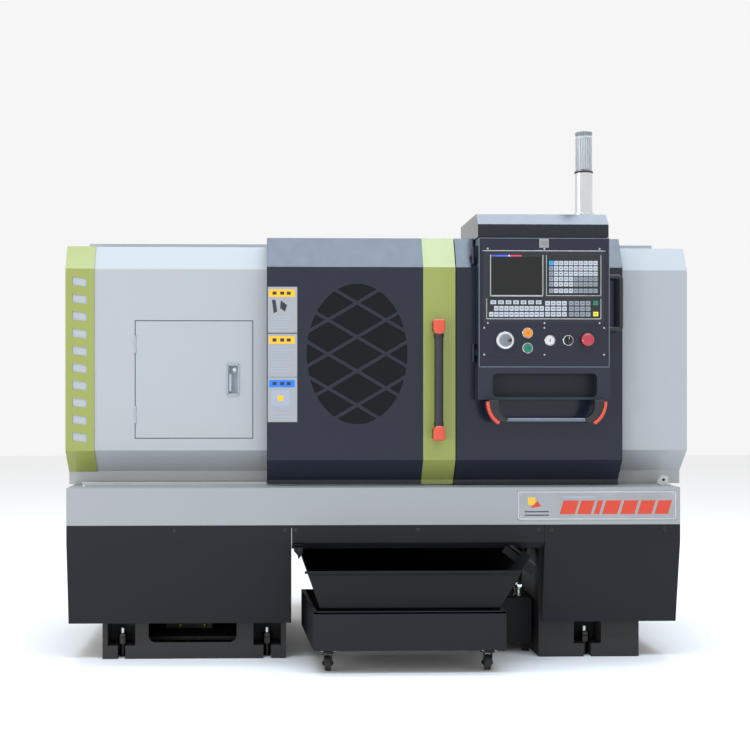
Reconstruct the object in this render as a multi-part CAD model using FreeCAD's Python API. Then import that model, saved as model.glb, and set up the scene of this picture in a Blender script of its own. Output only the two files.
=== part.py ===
import FreeCAD, Part
import math
import os

# CNC turning lathe: a flat-bed lathe with a full enclosure, two pedestals, a hanging operator
# console and a roll-out chip cart.  Millimetres.  +X runs to the tailstock end, +Y to the back
# of the machine, +Z up.  The origin is on the floor, under the middle of the machine.

V = FreeCAD.Vector

# ---------------------------------------------------------------- driving dimensions
# chip tray, which sets the length and depth of the machine
tray_left = -1092.0
tray_length = 2062.0
tray_front = -460.0
tray_depth = 900.0
tray_height = 125.0
pedestal_height = 461.0
tray_sheet = 4.0
ledge_front = 220.0
ledge_back = 40.0
ledge_end = 60.0
chute_left = -180.0
chute_length = 440.0
chute_depth = 220.0

# pedestals
pedestal_setback = 78.0
pedestal_depth = 764.0
pedestal_wall = 12.0
left_pedestal_left = -982.0
left_pedestal_length = 623.0
right_pedestal_left = 507.0
right_pedestal_length = 345.0
foot_thickness = 45.0
foot_pocket_width = 94.0
foot_pocket_depth = 100.0
foot_pocket_height = 150.0
foot_slot_width = 26.0
foot_slot_depth = 60.0
bolt_radius = 10.0
bolt_head_radius = 18.0
bolt_head_height = 20.0
fork_slot_left = -826.0
fork_slot_length = 299.0
fork_slot_bottom = 55.0
fork_slot_height = 250.0
fork_slot_radius = 24.0
end_pocket_offset = 17.0
right_pocket_left = 628.0

# skirts under the tray
skirt_sheet = 3.0
skirt_fold_drop = 59.0
skirt_drop = 335.0
skirt_lean = 48.0
skirt_joint_left = -341.0
skirt_joint_right = 510.5
skirt_joint_gap = 1.0
middle_skirt_return = 22.0
end_skirt_depth = 760.0

# spindle line
spindle_y = -40.0
spindle_z = 1034.0
spindle_radius = 45.0
spindle_bore_radius = 21.0
bar_hole_radius = 30.0
spindle_nose_radius = 70.0
spindle_nose_length = 30.0
running_gap = 0.05
chuck_radius = 100.0
chuck_length = 72.0
chuck_bore_radius = 26.0
jaw_length = 40.0
jaw_width = 34.0
jaw_height = 60.0

# bed and headstock
bed_left = -900.0
bed_length = 1800.0
bed_width = 300.0
bed_top = 850.0
bed_wall = 32.0
bed_rib_pitch = 300.0
way_height = 20.0
way_width = 56.0
headstock_length = 440.0
headstock_left = -880.0
headstock_width = 320.0
headstock_height = 330.0

# main drive
motor_radius = 105.0
motor_length = 300.0
motor_left = -830.0
motor_shaft_radius = 19.0
motor_pulley_radius = 62.0
spindle_pulley_radius = 96.0
pulley_width = 48.0
pulley_left = -950.0
belt_thickness = 9.0
belt_width = 36.0
belt_gap = 0.4

# carriage and its feed
saddle_left = 60.0
saddle_length = 230.0
saddle_height = 60.0
screw_radius = 16.0
screw_drop = 60.0
screw_standoff = 50.0
screw_bearing_length = 26.0
cross_slide_length = 150.0
cross_slide_width = 210.0
cross_slide_height = 46.0
turret_size = 120.0
turret_height = 70.0

# tailstock
tailstock_left = 560.0
tailstock_length = 210.0
quill_radius = 30.0
quill_length = 235.0
quill_nose = 40.0
tailstock_wheel_radius = 75.0

# covers
cover_sheet = 3.0
cover_overhang = 20.0
cover_setback = 110.0
headstock_cover_length = 712.0
tailstock_cover_length = 239.0
cover_strip_height = 46.0
cover_lower_slope_height = 75.0
cover_lower_slope_depth = 80.0
cover_face_height = 621.0
cover_upper_slope_height = 81.0
cover_upper_slope_depth = 45.0
trim_width = 98.0
trim_sheet = 3.0
trim_slot_count = 10

# sliding door and fixed front panel
door_setback = 60.0
door_length = 642.0
door_overlap = 24.0
door_sheet = 3.0
door_floor_gap = 4.0
door_strip_height = 19.0
door_lower_slope_height = 71.0
door_lower_slope_depth = 57.0
door_face_height = 656.0
door_upper_slope_height = 104.0
door_upper_slope_depth = 50.0
door_travel = 585.0
edge_strip_width = 110.0
panel_gap = 3.0
front_panel_length = 570.0
window_width = 343.0
window_height = 477.0
window_offset = 306.5
window_z = 1036.0
lattice_width = 11.0
lattice_pitch = 116.0
lattice_angle = 30.4
glass_thickness = 5.0
glass_margin = 18.0
handle_offset = 63.0
handle_z = 947.5
handle_length = 409.0
handle_width = 30.0
handle_cap_width = 43.0
handle_cap_length = 55.0
handle_standoff = 62.0
rail_height = 10.0
rail_width = 12.0
slide_gap = 0.5
door_return = 40.0
panel_return = 55.0
hinge_pin_gap = 0.05

# access door in the headstock cover
access_left = -873.5
access_bottom = 750.0
access_size = 400.0
access_gap = 2.5
pull_width = 35.0
pull_height = 99.0
pull_depth = 16.0
pull_inset = 66.5

# rear cover, cabinet
hood_setback = 410.0
hood_rise = 41.0
hood_left_inset = 40.0
hood_right_inset = 31.0
cabinet_left = -560.0
cabinet_length = 900.0
cabinet_depth = 205.0
cabinet_bottom = 640.0
cabinet_height = 720.0
cabinet_wall = 3.0

# operator console
console_left = 286.0
console_length = 441.0
console_bottom = 990.0
console_height = 434.0
console_depth = 62.0
console_wall = 3.0
console_gap = 6.0
face_sheet = 3.0
pocket_margin = 3.0
pocket_bottom = 881.0
pocket_height = 109.0
pocket_forward = 4.0
pocket_depth = 66.0
mouth_left = 332.0
mouth_length = 353.0
mouth_bottom = 890.0
mouth_height = 79.0
mouth_radius = 16.0
grab_left = 304.0
grab_length = 407.0
grab_drop = 77.0
grab_tube = 26.0
grab_forward = 45.0
side_grab_length = 188.0
side_grab_bottom = 1119.0
side_grab_reach = 58.0
side_grab_tube = 18.0
screen_left = 323.0
screen_length = 179.0
screen_bottom = 1227.0
screen_height = 139.0
screen_depth = 5.0
keypad_left = 512.0
keypad_length = 186.0
keypad_bottom = 1229.0
keypad_height = 137.0
machine_keys_left = 311.0
machine_keys_length = 387.0
machine_keys_bottom = 1151.0
machine_keys_height = 69.0
keypad_depth = 2.5
stem_radius = 11.0
stem_length = 40.0
stem_gap = 0.08
handwheel_x = 373.6
handwheel_z = 1079.5
handwheel_radius = 30.5
yellow_x = 450.0
yellow_z = 1104.7
green_z = 1054.0
button_radius = 15.0
button_travel = 4.0
key_x = 525.2
selector_x = 586.7
switch_z = 1080.0
stop_x = 649.2
stop_z = 1082.0
stop_radius = 21.5
stop_travel = 6.0
header_left = 285.0
header_length = 442.0
header_bottom = 1428.0
header_height = 82.0
header_depth = 375.0
header_setback = 8.0
header_bevel_height = 39.0
header_bevel_depth = 40.0
lamp_x = 670.0
lamp_y = -350.0
lamp_radius = 30.0
lamp_tube_height = 158.0
lamp_lens_radius = 28.0
lamp_lens_height = 135.0

# lubricator on the right end
lubricator_y = 120.0
lubricator_width = 150.0
lubricator_reach = 82.0
lubricator_bottom = 772.0
lubricator_height = 333.0

# chips and coolant
hopper_sheet = 3.0
hopper_left = -345.0
hopper_length = 843.0
hopper_front = -567.0
hopper_depth = 827.0
hopper_mouth_left = -252.0
hopper_mouth_length = 587.0
hopper_mouth_front = -600.0
hopper_mouth_depth = 400.0
hopper_mouth_z = 207.0
hopper_panel_height = 116.0
hopper_skirt_clearance = 8.0
cart_left = -275.0
cart_length = 620.0
cart_front = -650.0
cart_depth = 478.0
cart_bottom = 77.0
cart_height = 124.0
cart_sheet = 3.0
cart_flare = 26.0
caster_left_x = -226.0
caster_right_x = 295.0
caster_setback = 55.0
caster_radius = 25.0
caster_width = 20.0
caster_trail = 16.0
caster_axle_radius = 4.0
rear_wheel_setback = 90.0
rear_wheel_radius = 38.0
rear_wheel_width = 24.0
cart_travel = 650.0
tank_left = 380.0
tank_length = 120.0
tank_front = -300.0
tank_depth = 720.0
tank_bottom = 30.0
tank_height = 160.0
pump_radius = 42.0
pump_height = 210.0

# ---------------------------------------------------------------- derived places
tray_right = tray_left + tray_length
tray_back = tray_front + tray_depth
tray_bottom = pedestal_height
tray_top = tray_bottom + tray_height
pan_floor = tray_bottom + tray_sheet
cover_left = tray_left - cover_overhang
cover_right = cover_left + headstock_cover_length
cover_y = tray_front + cover_setback
door_left = cover_right - door_overlap
door_right = door_left + door_length
door_y = tray_front + door_setback
panel_left = door_right + panel_gap
panel_right = panel_left + front_panel_length
machine_right = panel_right + tailstock_cover_length
hood_y = tray_front + hood_setback
console_y = door_y - console_gap - console_depth
header_y = console_y + header_setback
header_top = header_bottom + header_height
bed_right = bed_left + bed_length
bed_front = spindle_y - bed_width / 2.0
bed_back = spindle_y + bed_width / 2.0
headstock_right = headstock_left + headstock_length
chuck_left = headstock_right + spindle_nose_length
chuck_face = chuck_left + chuck_length

shapes = {}


# ---------------------------------------------------------------- shape helpers
def box(x0, x1, y0, y1, z0, z1):
    """A block between two corners."""
    return Part.makeBox(x1 - x0, y1 - y0, z1 - z0, V(x0, y0, z0))


def rod(radius, start, end):
    """A round bar from one point to another."""
    line = V(*end) - V(*start)
    return Part.makeCylinder(radius, line.Length, V(*start), line)


def slab(points, axis, low, high):
    """A flat outline pushed along an axis: (y, z) pairs along X, (x, z) along Y, (x, y) along Z."""
    place = {
        "x": lambda a, b: V(low, a, b),
        "y": lambda a, b: V(a, low, b),
        "z": lambda a, b: V(a, b, low),
    }[axis]
    corners = [place(a, b) for a, b in points]
    face = Part.Face(Part.makePolygon(corners + corners[:1]))
    push = {"x": V(high - low, 0, 0), "y": V(0, high - low, 0), "z": V(0, 0, high - low)}[axis]
    return face.extrude(push)


def sheet(points, thickness):
    """A closed outline of sheet metal: the open line of points, thickened to its left side."""
    count = len(points)
    inner = []
    for i, (a, b) in enumerate(points):
        normals = []
        for j in (i - 1, i):
            if 0 <= j < count - 1:
                da = points[j + 1][0] - points[j][0]
                db = points[j + 1][1] - points[j][1]
                length = math.hypot(da, db)
                normals.append((-db / length, da / length))
        na = sum(n[0] for n in normals)
        nb = sum(n[1] for n in normals)
        stretch = thickness * len(normals) / (na * na + nb * nb)
        inner.append((a + na * stretch, b + nb * stretch))
    return points + inner[::-1]


def rounded(x0, x1, y0, y1, z0, z1, radius, axis="y"):
    """A block whose edges along one axis are rounded."""
    block = box(x0, x1, y0, y1, z0, z1)
    along = {"x": V(1, 0, 0), "y": V(0, 1, 0), "z": V(0, 0, 1)}[axis]
    edges = [e for e in block.Edges if abs(e.tangentAt(e.FirstParameter).dot(along)) > 0.99]
    return block.makeFillet(radius, edges)


def join(*parts):
    """One solid from touching or crossing parts."""
    whole = parts[0].fuse(list(parts[1:])) if len(parts) > 1 else parts[0]
    return whole.removeSplitter()


def save(name, *solids):
    """Writes one node: a single solid, or a group of separate ones."""
    shape = solids[0] if len(solids) == 1 else Part.makeCompound(list(solids))
    if not shape.isValid():
        print("NOT VALID", name)
    shapes[name] = shape
    shape.exportStep("parts/" + name + ".step")
    print(name, len(shape.Solids), round(shape.Volume / 1000.0), "cm3")


os.makedirs("parts", exist_ok=True)


# ---------------------------------------------------------------- stand
def pedestal(left, length, pockets):
    """A cast pedestal, open below, with a bolt pocket cut into each foot corner that shows."""
    right = left + length
    front = tray_front + pedestal_setback
    back = front + pedestal_depth
    wall = pedestal_wall
    body = box(left, right, front, back, 0, tray_bottom)
    body = body.cut(box(left + wall, right - wall, front + wall, back - wall, -1, tray_bottom - wall))
    for x in pockets:
        pocket_right = x + foot_pocket_width
        pocket_back = front + foot_pocket_depth
        top = foot_thickness + foot_pocket_height
        niche = box(
            max(x - wall, left), min(pocket_right + wall, right), front, pocket_back + wall, 0, top + wall
        )
        body = body.fuse(niche)
        body = body.cut(box(x, pocket_right, front - 1, pocket_back, foot_thickness, top))
        middle = x + foot_pocket_width / 2.0
        half = foot_slot_width / 2.0
        slot = box(middle - half, middle + half, front - 1, front + foot_slot_depth, -1, foot_thickness + 1)
        body = body.cut(slot)
    return body, front, back


def foundation_bolt(middle, front):
    """A hex-headed bolt standing in a foot slot, with its head on the pocket floor."""
    y = front + foot_slot_depth - foot_slot_width / 2.0
    corners = []
    for k in range(6):
        turn = math.radians(60.0 * k)
        corners.append((middle + bolt_head_radius * math.cos(turn), y + bolt_head_radius * math.sin(turn)))
    head = slab(corners, "z", foot_thickness, foot_thickness + bolt_head_height)
    return join(head, rod(bolt_radius, (middle, y, 0), (middle, y, foot_thickness)))


left_pockets = [
    left_pedestal_left + end_pocket_offset,
    left_pedestal_left + left_pedestal_length - end_pocket_offset - foot_pocket_width,
]
right_pockets = [right_pocket_left]
left_stand, stand_front, stand_back = pedestal(left_pedestal_left, left_pedestal_length, left_pockets)
fork_right = fork_slot_left + fork_slot_length
shelf = box(
    left_pedestal_left + pedestal_wall, left_pedestal_left + left_pedestal_length - pedestal_wall,
    stand_front + foot_pocket_depth + pedestal_wall, stand_back - pedestal_wall,
    fork_slot_bottom - pedestal_wall, fork_slot_bottom,
)
left_stand = left_stand.fuse(shelf)
left_stand = left_stand.cut(
    rounded(
        fork_slot_left, fork_right, stand_front - 1, stand_front + pedestal_wall + 1,
        fork_slot_bottom, fork_slot_bottom + fork_slot_height, fork_slot_radius,
    )
)
belt_hole_right = pulley_left + pulley_width + 8.0
belt_hole_left = pulley_left - 8.0
belt_half = spindle_pulley_radius + belt_thickness + 12.0
belt_hole = box(
    belt_hole_left, belt_hole_right, spindle_y - belt_half, spindle_y + belt_half,
    tray_bottom - pedestal_wall - 1, tray_top + 1,
)
left_stand = left_stand.cut(belt_hole)
save("left_pedestal", left_stand)
right_stand, stand_front, stand_back = pedestal(right_pedestal_left, right_pedestal_length, right_pockets)
save("right_pedestal", right_stand)
save(
    "foundation_bolts",
    *[foundation_bolt(x + foot_pocket_width / 2.0, stand_front) for x in left_pockets + right_pockets]
)


def chip_tray():
    """A folded pan: a wide front ledge carries the covers, and a chute lets chips fall through."""
    pan_left = tray_left + ledge_end
    pan_right = tray_right - ledge_end
    pan_front = tray_front + ledge_front
    pan_back = tray_back - ledge_back
    t = tray_sheet
    body = box(tray_left, tray_right, tray_front, tray_back, tray_bottom, tray_top)
    body = body.cut(box(pan_left, pan_right, pan_front, pan_back, pan_floor, tray_top + 1))
    under_ledge = box(
        tray_left + t, tray_right - t, tray_front + t, tray_back - t, tray_bottom - 1, tray_top - t
    ).cut(box(pan_left - t, pan_right + t, pan_front - t, pan_back + t, tray_bottom - 2, tray_top))
    body = body.cut(under_ledge)
    chute = box(
        chute_left, chute_left + chute_length, spindle_y - chute_depth / 2.0,
        spindle_y + chute_depth / 2.0, tray_bottom - 1, pan_floor + 1,
    )
    body = body.cut(chute)
    return body.cut(belt_hole)


save("chip_tray", chip_tray())


def skirts():
    """Sheet skirts: each drops from the tray's lower edge, then leans back; two close the ends."""
    fold = tray_bottom - skirt_fold_drop
    low = tray_bottom - skirt_drop
    lean = tray_front + skirt_lean
    tall = [(lean, low), (tray_front, fold), (tray_front, tray_bottom)]
    short = [
        (tray_front + middle_skirt_return, fold - middle_skirt_return),
        (tray_front, fold),
        (tray_front, tray_bottom),
    ]
    tall_outline = sheet(tall[::-1], skirt_sheet)
    short_outline = sheet(short[::-1], skirt_sheet)
    gap = skirt_joint_gap / 2.0
    left = slab(tall_outline, "x", tray_left, skirt_joint_left - gap)
    middle = slab(short_outline, "x", skirt_joint_left + gap, skirt_joint_right - gap)
    right = slab(tall_outline, "x", skirt_joint_right + gap, tray_right)
    end_back = tray_front + end_skirt_depth
    end_outline = [
        (tray_front + skirt_sheet, tray_bottom),
        (tray_front + skirt_sheet, fold),
        (lean + skirt_sheet + 0.5, low),
        (end_back, low),
        (end_back, tray_bottom),
    ]
    left_end = slab(end_outline, "x", tray_left, tray_left + skirt_sheet)
    right_end = slab(end_outline, "x", tray_right - skirt_sheet, tray_right)
    return [left, middle, right, left_end, right_end]


save("skirt_panels", *skirts())


# ---------------------------------------------------------------- bed and ways
def way_outlines():
    """The (y, z) outlines of the front prism way and the rear flat way."""
    front = bed_front + 12.0
    rear = bed_back - 12.0
    shoulder = bed_top + way_height * 0.35
    top = bed_top + way_height
    prism = [
        (front, bed_top), (front, shoulder), (front + way_width / 2.0, top),
        (front + way_width, shoulder), (front + way_width, bed_top),
    ]
    flat = [(rear - way_width, bed_top), (rear - way_width, top), (rear, top), (rear, bed_top)]
    return [prism, flat]


def on_ways(body, low, high):
    """Cuts the two ways out of the underside of a body that slides on them."""
    for outline in way_outlines():
        body = body.cut(slab(outline, "x", low, high))
    return body


screw_y = bed_front - screw_standoff
screw_z = bed_top - screw_drop
bracket_half = 45.0
screw_left = headstock_right + 20.0
servo_bracket_left = bed_right - 70.0
servo_left = servo_bracket_left + screw_bearing_length


def bed():
    """The cast bed: two walls with cross ribs, two ways on top and two feed-screw brackets."""
    body = box(bed_left, bed_right, bed_front, bed_back, pan_floor, bed_top)
    bay_left = headstock_right + 60.0
    inner_front = bed_front + bed_wall
    inner_back = bed_back - bed_wall
    body = body.cut(
        box(bay_left, bed_right - bed_wall, inner_front, inner_back, pan_floor - 1, bed_top + 1)
    )
    rib_x = bay_left + bed_rib_pitch
    while rib_x + bed_wall < bed_right - bed_wall:
        rib = box(rib_x, rib_x + bed_wall, inner_front, inner_back, bed_top - 160.0, bed_top)
        body = body.fuse(rib)
        rib_x += bed_rib_pitch
    for outline in way_outlines():
        body = body.fuse(slab(outline, "x", headstock_right, bed_right))
    for x in (screw_left, servo_bracket_left):
        bracket = box(
            x, x + screw_bearing_length, screw_y - bracket_half, bed_front,
            screw_z - bracket_half, screw_z + bracket_half,
        )
        body = body.fuse(bracket)
        hole = rod(screw_radius + running_gap, (x - 1, screw_y, screw_z),
                   (x + screw_bearing_length + 1, screw_y, screw_z))
        body = body.cut(hole)
    return body.removeSplitter()


save("bed", bed())


# ---------------------------------------------------------------- headstock and spindle
def along_x(radius, x0, x1):
    """A round bar on the spindle line."""
    return rod(radius, (x0, spindle_y, spindle_z), (x1, spindle_y, spindle_z))


def headstock():
    """A cast box on the bed, with a domed top and one through bore for the spindle."""
    front = spindle_y - headstock_width / 2.0
    back = spindle_y + headstock_width / 2.0
    body = rounded(
        headstock_left, headstock_right, front, back, bed_top, bed_top + headstock_height, 40.0, "x"
    )
    square_foot = box(headstock_left, headstock_right, front, back, bed_top, bed_top + 60.0)
    body = body.fuse(square_foot)
    body = body.fuse(along_x(spindle_nose_radius + 20.0, headstock_right - 1, headstock_right + 4.0))
    body = body.cut(along_x(spindle_radius + running_gap, headstock_left - 1, headstock_right + 6))
    return body.removeSplitter()


save("headstock", headstock())


def spindle():
    """A hollow spindle with its nose flange and the grooved pulley at its tail."""
    tail = pulley_left - 10.0
    body = along_x(spindle_radius, tail, headstock_right + 5.0)
    body = body.fuse(along_x(spindle_nose_radius, headstock_right + 5.0, chuck_left))
    body = body.fuse(along_x(spindle_pulley_radius, pulley_left, pulley_left + pulley_width))
    return body.cut(along_x(spindle_bore_radius, tail - 1, chuck_left + 1)).removeSplitter()


save("spindle", spindle())


def chuck():
    """A three-jaw chuck body with its through bore and three jaw slots."""
    body = along_x(chuck_radius, chuck_left, chuck_face)
    body = body.cut(along_x(chuck_bore_radius, chuck_left - 1, chuck_face + 1))
    return body.makeChamfer(4.0, [e for e in body.Edges if e.Length > 2 * math.pi * chuck_radius - 1])


def jaw(turn):
    """One stepped jaw, standing on the chuck's face."""
    half = jaw_width / 2.0
    low = chuck_bore_radius + 4.0
    foot = box(chuck_face, chuck_face + jaw_length / 2.0, spindle_y - half, spindle_y + half,
               spindle_z + low, spindle_z + low + jaw_height)
    step = box(chuck_face + jaw_length / 2.0, chuck_face + jaw_length, spindle_y - half,
               spindle_y + half, spindle_z + low, spindle_z + low + jaw_height * 0.55)
    body = join(foot, step)
    body.rotate(V(0, spindle_y, spindle_z), V(1, 0, 0), turn)
    return body


save("chuck", chuck())
save("chuck_jaws", *[jaw(turn) for turn in (0.0, 120.0, 240.0)])

# ---------------------------------------------------------------- main drive
motor_z = fork_slot_bottom + motor_radius + 14.0


def belt_outline(grow, x):
    """The closed line round both pulleys, at a given height above their rims."""
    low_r = motor_pulley_radius + grow
    high_r = spindle_pulley_radius + grow
    span = spindle_z - motor_z
    nz = (low_r - high_r) / span
    ny = math.sqrt(1.0 - nz * nz)

    def point(side, radius, height, off_y, off_z):
        return V(x, spindle_y + side * radius * off_y, height + radius * off_z)

    low_right = point(1, low_r, motor_z, ny, nz)
    low_left = point(-1, low_r, motor_z, ny, nz)
    high_right = point(1, high_r, spindle_z, ny, nz)
    high_left = point(-1, high_r, spindle_z, ny, nz)
    top = V(x, spindle_y, spindle_z + high_r)
    bottom = V(x, spindle_y, motor_z - low_r)
    return Part.Wire([
        Part.LineSegment(low_right, high_right).toShape(),
        Part.Arc(high_right, top, high_left).toShape(),
        Part.LineSegment(high_left, low_left).toShape(),
        Part.Arc(low_left, bottom, low_right).toShape(),
    ])


def drive_belts():
    """The belt set between the motor and spindle pulleys, as one band."""
    x = pulley_left + (pulley_width - belt_width) / 2.0
    outer = Part.Face(belt_outline(belt_gap + belt_thickness, x)).extrude(V(belt_width, 0, 0))
    inner = Part.Face(belt_outline(belt_gap, x - 1)).extrude(V(belt_width + 2, 0, 0))
    return outer.cut(inner)


save("drive_belts", drive_belts())


def main_motor():
    """A foot-mounted motor: finned barrel, end bells, feet and terminal box."""
    right = motor_left + motor_length
    body = rod(motor_radius, (motor_left, spindle_y, motor_z), (right, spindle_y, motor_z))
    feet = box(motor_left + 40.0, right - 60.0, spindle_y - motor_radius * 0.9,
               spindle_y + motor_radius * 0.9, fork_slot_bottom, motor_z - motor_radius * 0.6)
    terminal_box = box(motor_left + 90.0, right - 110.0, spindle_y - 50.0, spindle_y + 50.0,
                       motor_z + motor_radius * 0.8, motor_z + motor_radius + 45.0)
    body = body.fuse([feet, terminal_box])
    bore = rod(motor_shaft_radius + running_gap, (motor_left - 1, spindle_y, motor_z),
               (motor_left + 80.0, spindle_y, motor_z))
    return body.cut(bore).removeSplitter()


save("main_motor", main_motor())
shaft_end = motor_left + 78.0
save("motor_pulley", join(
    rod(motor_pulley_radius, (pulley_left, spindle_y, motor_z),
        (pulley_left + pulley_width, spindle_y, motor_z)),
    rod(motor_shaft_radius, (pulley_left, spindle_y, motor_z), (shaft_end, spindle_y, motor_z)),
))

# ---------------------------------------------------------------- carriage and Z feed
saddle_right = saddle_left + saddle_length
saddle_low = bed_top + way_height * 0.35
saddle_top = bed_top + way_height + saddle_height
saddle_front = screw_y - bracket_half - 15.0
apron_inset = 40.0


def saddle():
    """The carriage saddle: rides both ways and reaches down to the feed nut in front of the bed."""
    body = box(saddle_left, saddle_right, saddle_front, bed_back + 10.0, saddle_low, saddle_top)
    apron = box(saddle_left + apron_inset, saddle_right - apron_inset, screw_y - bracket_half,
                bed_front - 1.0, screw_z - bracket_half, saddle_low)
    body = body.fuse(apron)
    body = on_ways(body, saddle_left - 1, saddle_right + 1)
    bore = rod(screw_radius + running_gap, (saddle_left - 1, screw_y, screw_z),
               (saddle_right + 1, screw_y, screw_z))
    return body.cut(bore).removeSplitter()


save("saddle", saddle())
save("z_screw", rod(screw_radius, (screw_left + 1.0, screw_y, screw_z), (servo_left - 1.0, screw_y, screw_z)))


def z_servo():
    """A square-flanged servo motor on the right-hand screw bracket, with its encoder cap."""
    flange = box(servo_left, servo_left + 14.0, screw_y - bracket_half, screw_y + bracket_half,
                 screw_z - bracket_half, screw_z + bracket_half)
    barrel = rounded(servo_left + 14.0, servo_left + 92.0, screw_y - 40.0, screw_y + 40.0,
                     screw_z - 40.0, screw_z + 40.0, 10.0, "x")
    cap = rounded(servo_left + 92.0, servo_left + 122.0, screw_y - 32.0, screw_y + 32.0,
                  screw_z - 32.0, screw_z + 32.0, 10.0, "x")
    return join(flange, barrel, cap)


save("z_servo_motor", z_servo())
turret_x = saddle_left + saddle_length / 2.0
turret_y = spindle_y - 130.0
cross_slide_top = saddle_top + cross_slide_height
save("cross_slide", rounded(
    turret_x - cross_slide_length / 2.0, turret_x + cross_slide_length / 2.0,
    turret_y - cross_slide_width / 2.0, turret_y + cross_slide_width / 2.0,
    saddle_top, cross_slide_top, 6.0, "z",
))


def turret_head():
    """A square four-station tool turret with a tool bar clamped in each side."""
    half = turret_size / 2.0
    low = cross_slide_top
    body = rounded(turret_x - half, turret_x + half, turret_y - half, turret_y + half,
                   low, low + turret_height, 8.0, "z")
    slot_low = low + turret_height * 0.45
    slot_high = slot_low + 24.0
    bars = []
    for k in range(4):
        slot = box(turret_x - half + 24.0, turret_x + half + 1, turret_y - half - 1,
                   turret_y - half + 22.0, slot_low, slot_high)
        bar = box(turret_x - half + 26.0, turret_x + half + 34.0, turret_y - half + 1.0,
                  turret_y - half + 21.0, slot_low, slot_low + 20.0)
        for part in (slot, bar):
            part.rotate(V(turret_x, turret_y, 0), V(0, 0, 1), 90.0 * k)
        body = body.cut(slot)
        bars.append(bar)
    knob = rod(20.0, (turret_x, turret_y, low + turret_height), (turret_x, turret_y, low + turret_height + 16.0))
    return [body.fuse(knob).removeSplitter()] + bars


save("turret_head", *turret_head())

# ---------------------------------------------------------------- tailstock
tailstock_right = tailstock_left + tailstock_length
barrel_radius = quill_radius + 26.0
wheel_shaft_radius = 10.0


def tailstock_body():
    """The tailstock casting: a base on the ways, a waisted web and the quill barrel."""
    base = box(tailstock_left, tailstock_right, bed_front + 2.0, bed_back - 2.0,
               saddle_low, bed_top + way_height + 30.0)
    base = on_ways(base, tailstock_left - 1, tailstock_right + 1)
    web = box(tailstock_left + 20.0, tailstock_right - 20.0, spindle_y - 50.0, spindle_y + 50.0,
              bed_top + way_height, spindle_z)
    body = base.fuse([web, along_x(barrel_radius, tailstock_left, tailstock_right)])
    depth = tailstock_right - 12.0
    body = body.cut(along_x(quill_radius + running_gap, tailstock_left - 1, depth))
    body = body.cut(along_x(wheel_shaft_radius + running_gap, depth - 1, tailstock_right + 1))
    return body.removeSplitter()


save("tailstock_body", tailstock_body())
quill_tip = tailstock_left - quill_nose
quill_tail = quill_tip + quill_length - 12.0


def quill():
    """The quill with its live-centre point."""
    body = along_x(quill_radius, quill_tip, quill_tail)
    point = Part.makeCone(1.0, 14.0, 24.0, V(quill_tip - 24.0, spindle_y, spindle_z), V(1, 0, 0))
    return body.fuse(point).removeSplitter()


save("quill", quill())


def tailstock_handwheel():
    """A spoked handwheel with a crank grip on the quill screw."""
    face = tailstock_right + 4.0
    rim = Part.makeTorus(tailstock_wheel_radius - 9.0, 9.0, V(face + 22.0, spindle_y, spindle_z), V(1, 0, 0))
    hub = along_x(22.0, face, face + 34.0)
    shaft = along_x(wheel_shaft_radius, tailstock_right - 10.0, face + 1.0)
    body = rim.fuse([hub, shaft])
    for k in range(3):
        spoke = box(face + 16.0, face + 27.0, spindle_y - 7.0, spindle_y + 7.0,
                    spindle_z + 10.0, spindle_z + tailstock_wheel_radius - 8.0)
        spoke.rotate(V(0, spindle_y, spindle_z), V(1, 0, 0), 120.0 * k)
        body = body.fuse(spoke)
    grip = rod(10.0, (face + 24.0, spindle_y, spindle_z + tailstock_wheel_radius - 9.0),
               (face + 90.0, spindle_y, spindle_z + tailstock_wheel_radius - 9.0))
    return body.fuse(grip).removeSplitter()


save("tailstock_handwheel", tailstock_handwheel())


# ---------------------------------------------------------------- covers
cover_top = (
    tray_top + cover_strip_height + cover_lower_slope_height + cover_face_height + cover_upper_slope_height
)
cover_face_low = tray_top + cover_strip_height + cover_lower_slope_height
cover_face_high = cover_face_low + cover_face_height
cover_profile = [
    (hood_y, cover_top),
    (cover_y + cover_upper_slope_depth, cover_top),
    (cover_y, cover_face_high),
    (cover_y, cover_face_low),
    (cover_y + cover_lower_slope_depth, tray_top + cover_strip_height),
    (cover_y + cover_lower_slope_depth, tray_top),
]


def hinge(axis_x, axis_y, bottoms, length, radius):
    """Barrel hinges on one vertical axis: fixed knuckles with their pins, moving knuckles, pin holes."""
    third = length / 3.0
    fixed = []
    moving = []
    holes = []
    for z in bottoms:
        foot = (axis_x, axis_y)
        low = rod(radius, (*foot, z), (*foot, z + third - 0.2))
        high = rod(radius, (*foot, z + 2 * third + 0.2), (*foot, z + length))
        pin = rod(radius * 0.5, (*foot, z), (*foot, z + length))
        knuckle = rod(radius, (*foot, z + third), (*foot, z + 2 * third))
        hole = rod(radius * 0.5 + hinge_pin_gap, (*foot, z + third - 1), (*foot, z + 2 * third + 1))
        fixed.append(low.fuse([high, pin]))
        moving.append(knuckle)
        holes.append(hole)
    return fixed, moving, holes


def relief(axis_x, axis_y, bottoms, length, radius, moving):
    """The clearance that one side of a hinge needs round the other side's knuckles."""
    third = length / 3.0
    cuts = []
    for z in bottoms:
        spans = [(z + third - 0.4, z + 2 * third + 0.4)]
        if moving:
            spans = [(z - 1.0, z + third), (z + 2 * third, z + length + 1.0)]
        for low, high in spans:
            cuts.append(rod(radius + 0.6, (axis_x, axis_y, low), (axis_x, axis_y, high)))
    return cuts


access_axis = (access_left - access_gap / 2.0, cover_y)
access_hinges = [access_bottom + 50.0, access_bottom + access_size - 110.0]
access_hinge_length = 60.0
access_hinge_radius = 3.5
fixed_knuckles, moving_knuckles, access_pin_holes = hinge(
    *access_axis, access_hinges, access_hinge_length, access_hinge_radius
)


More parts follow.
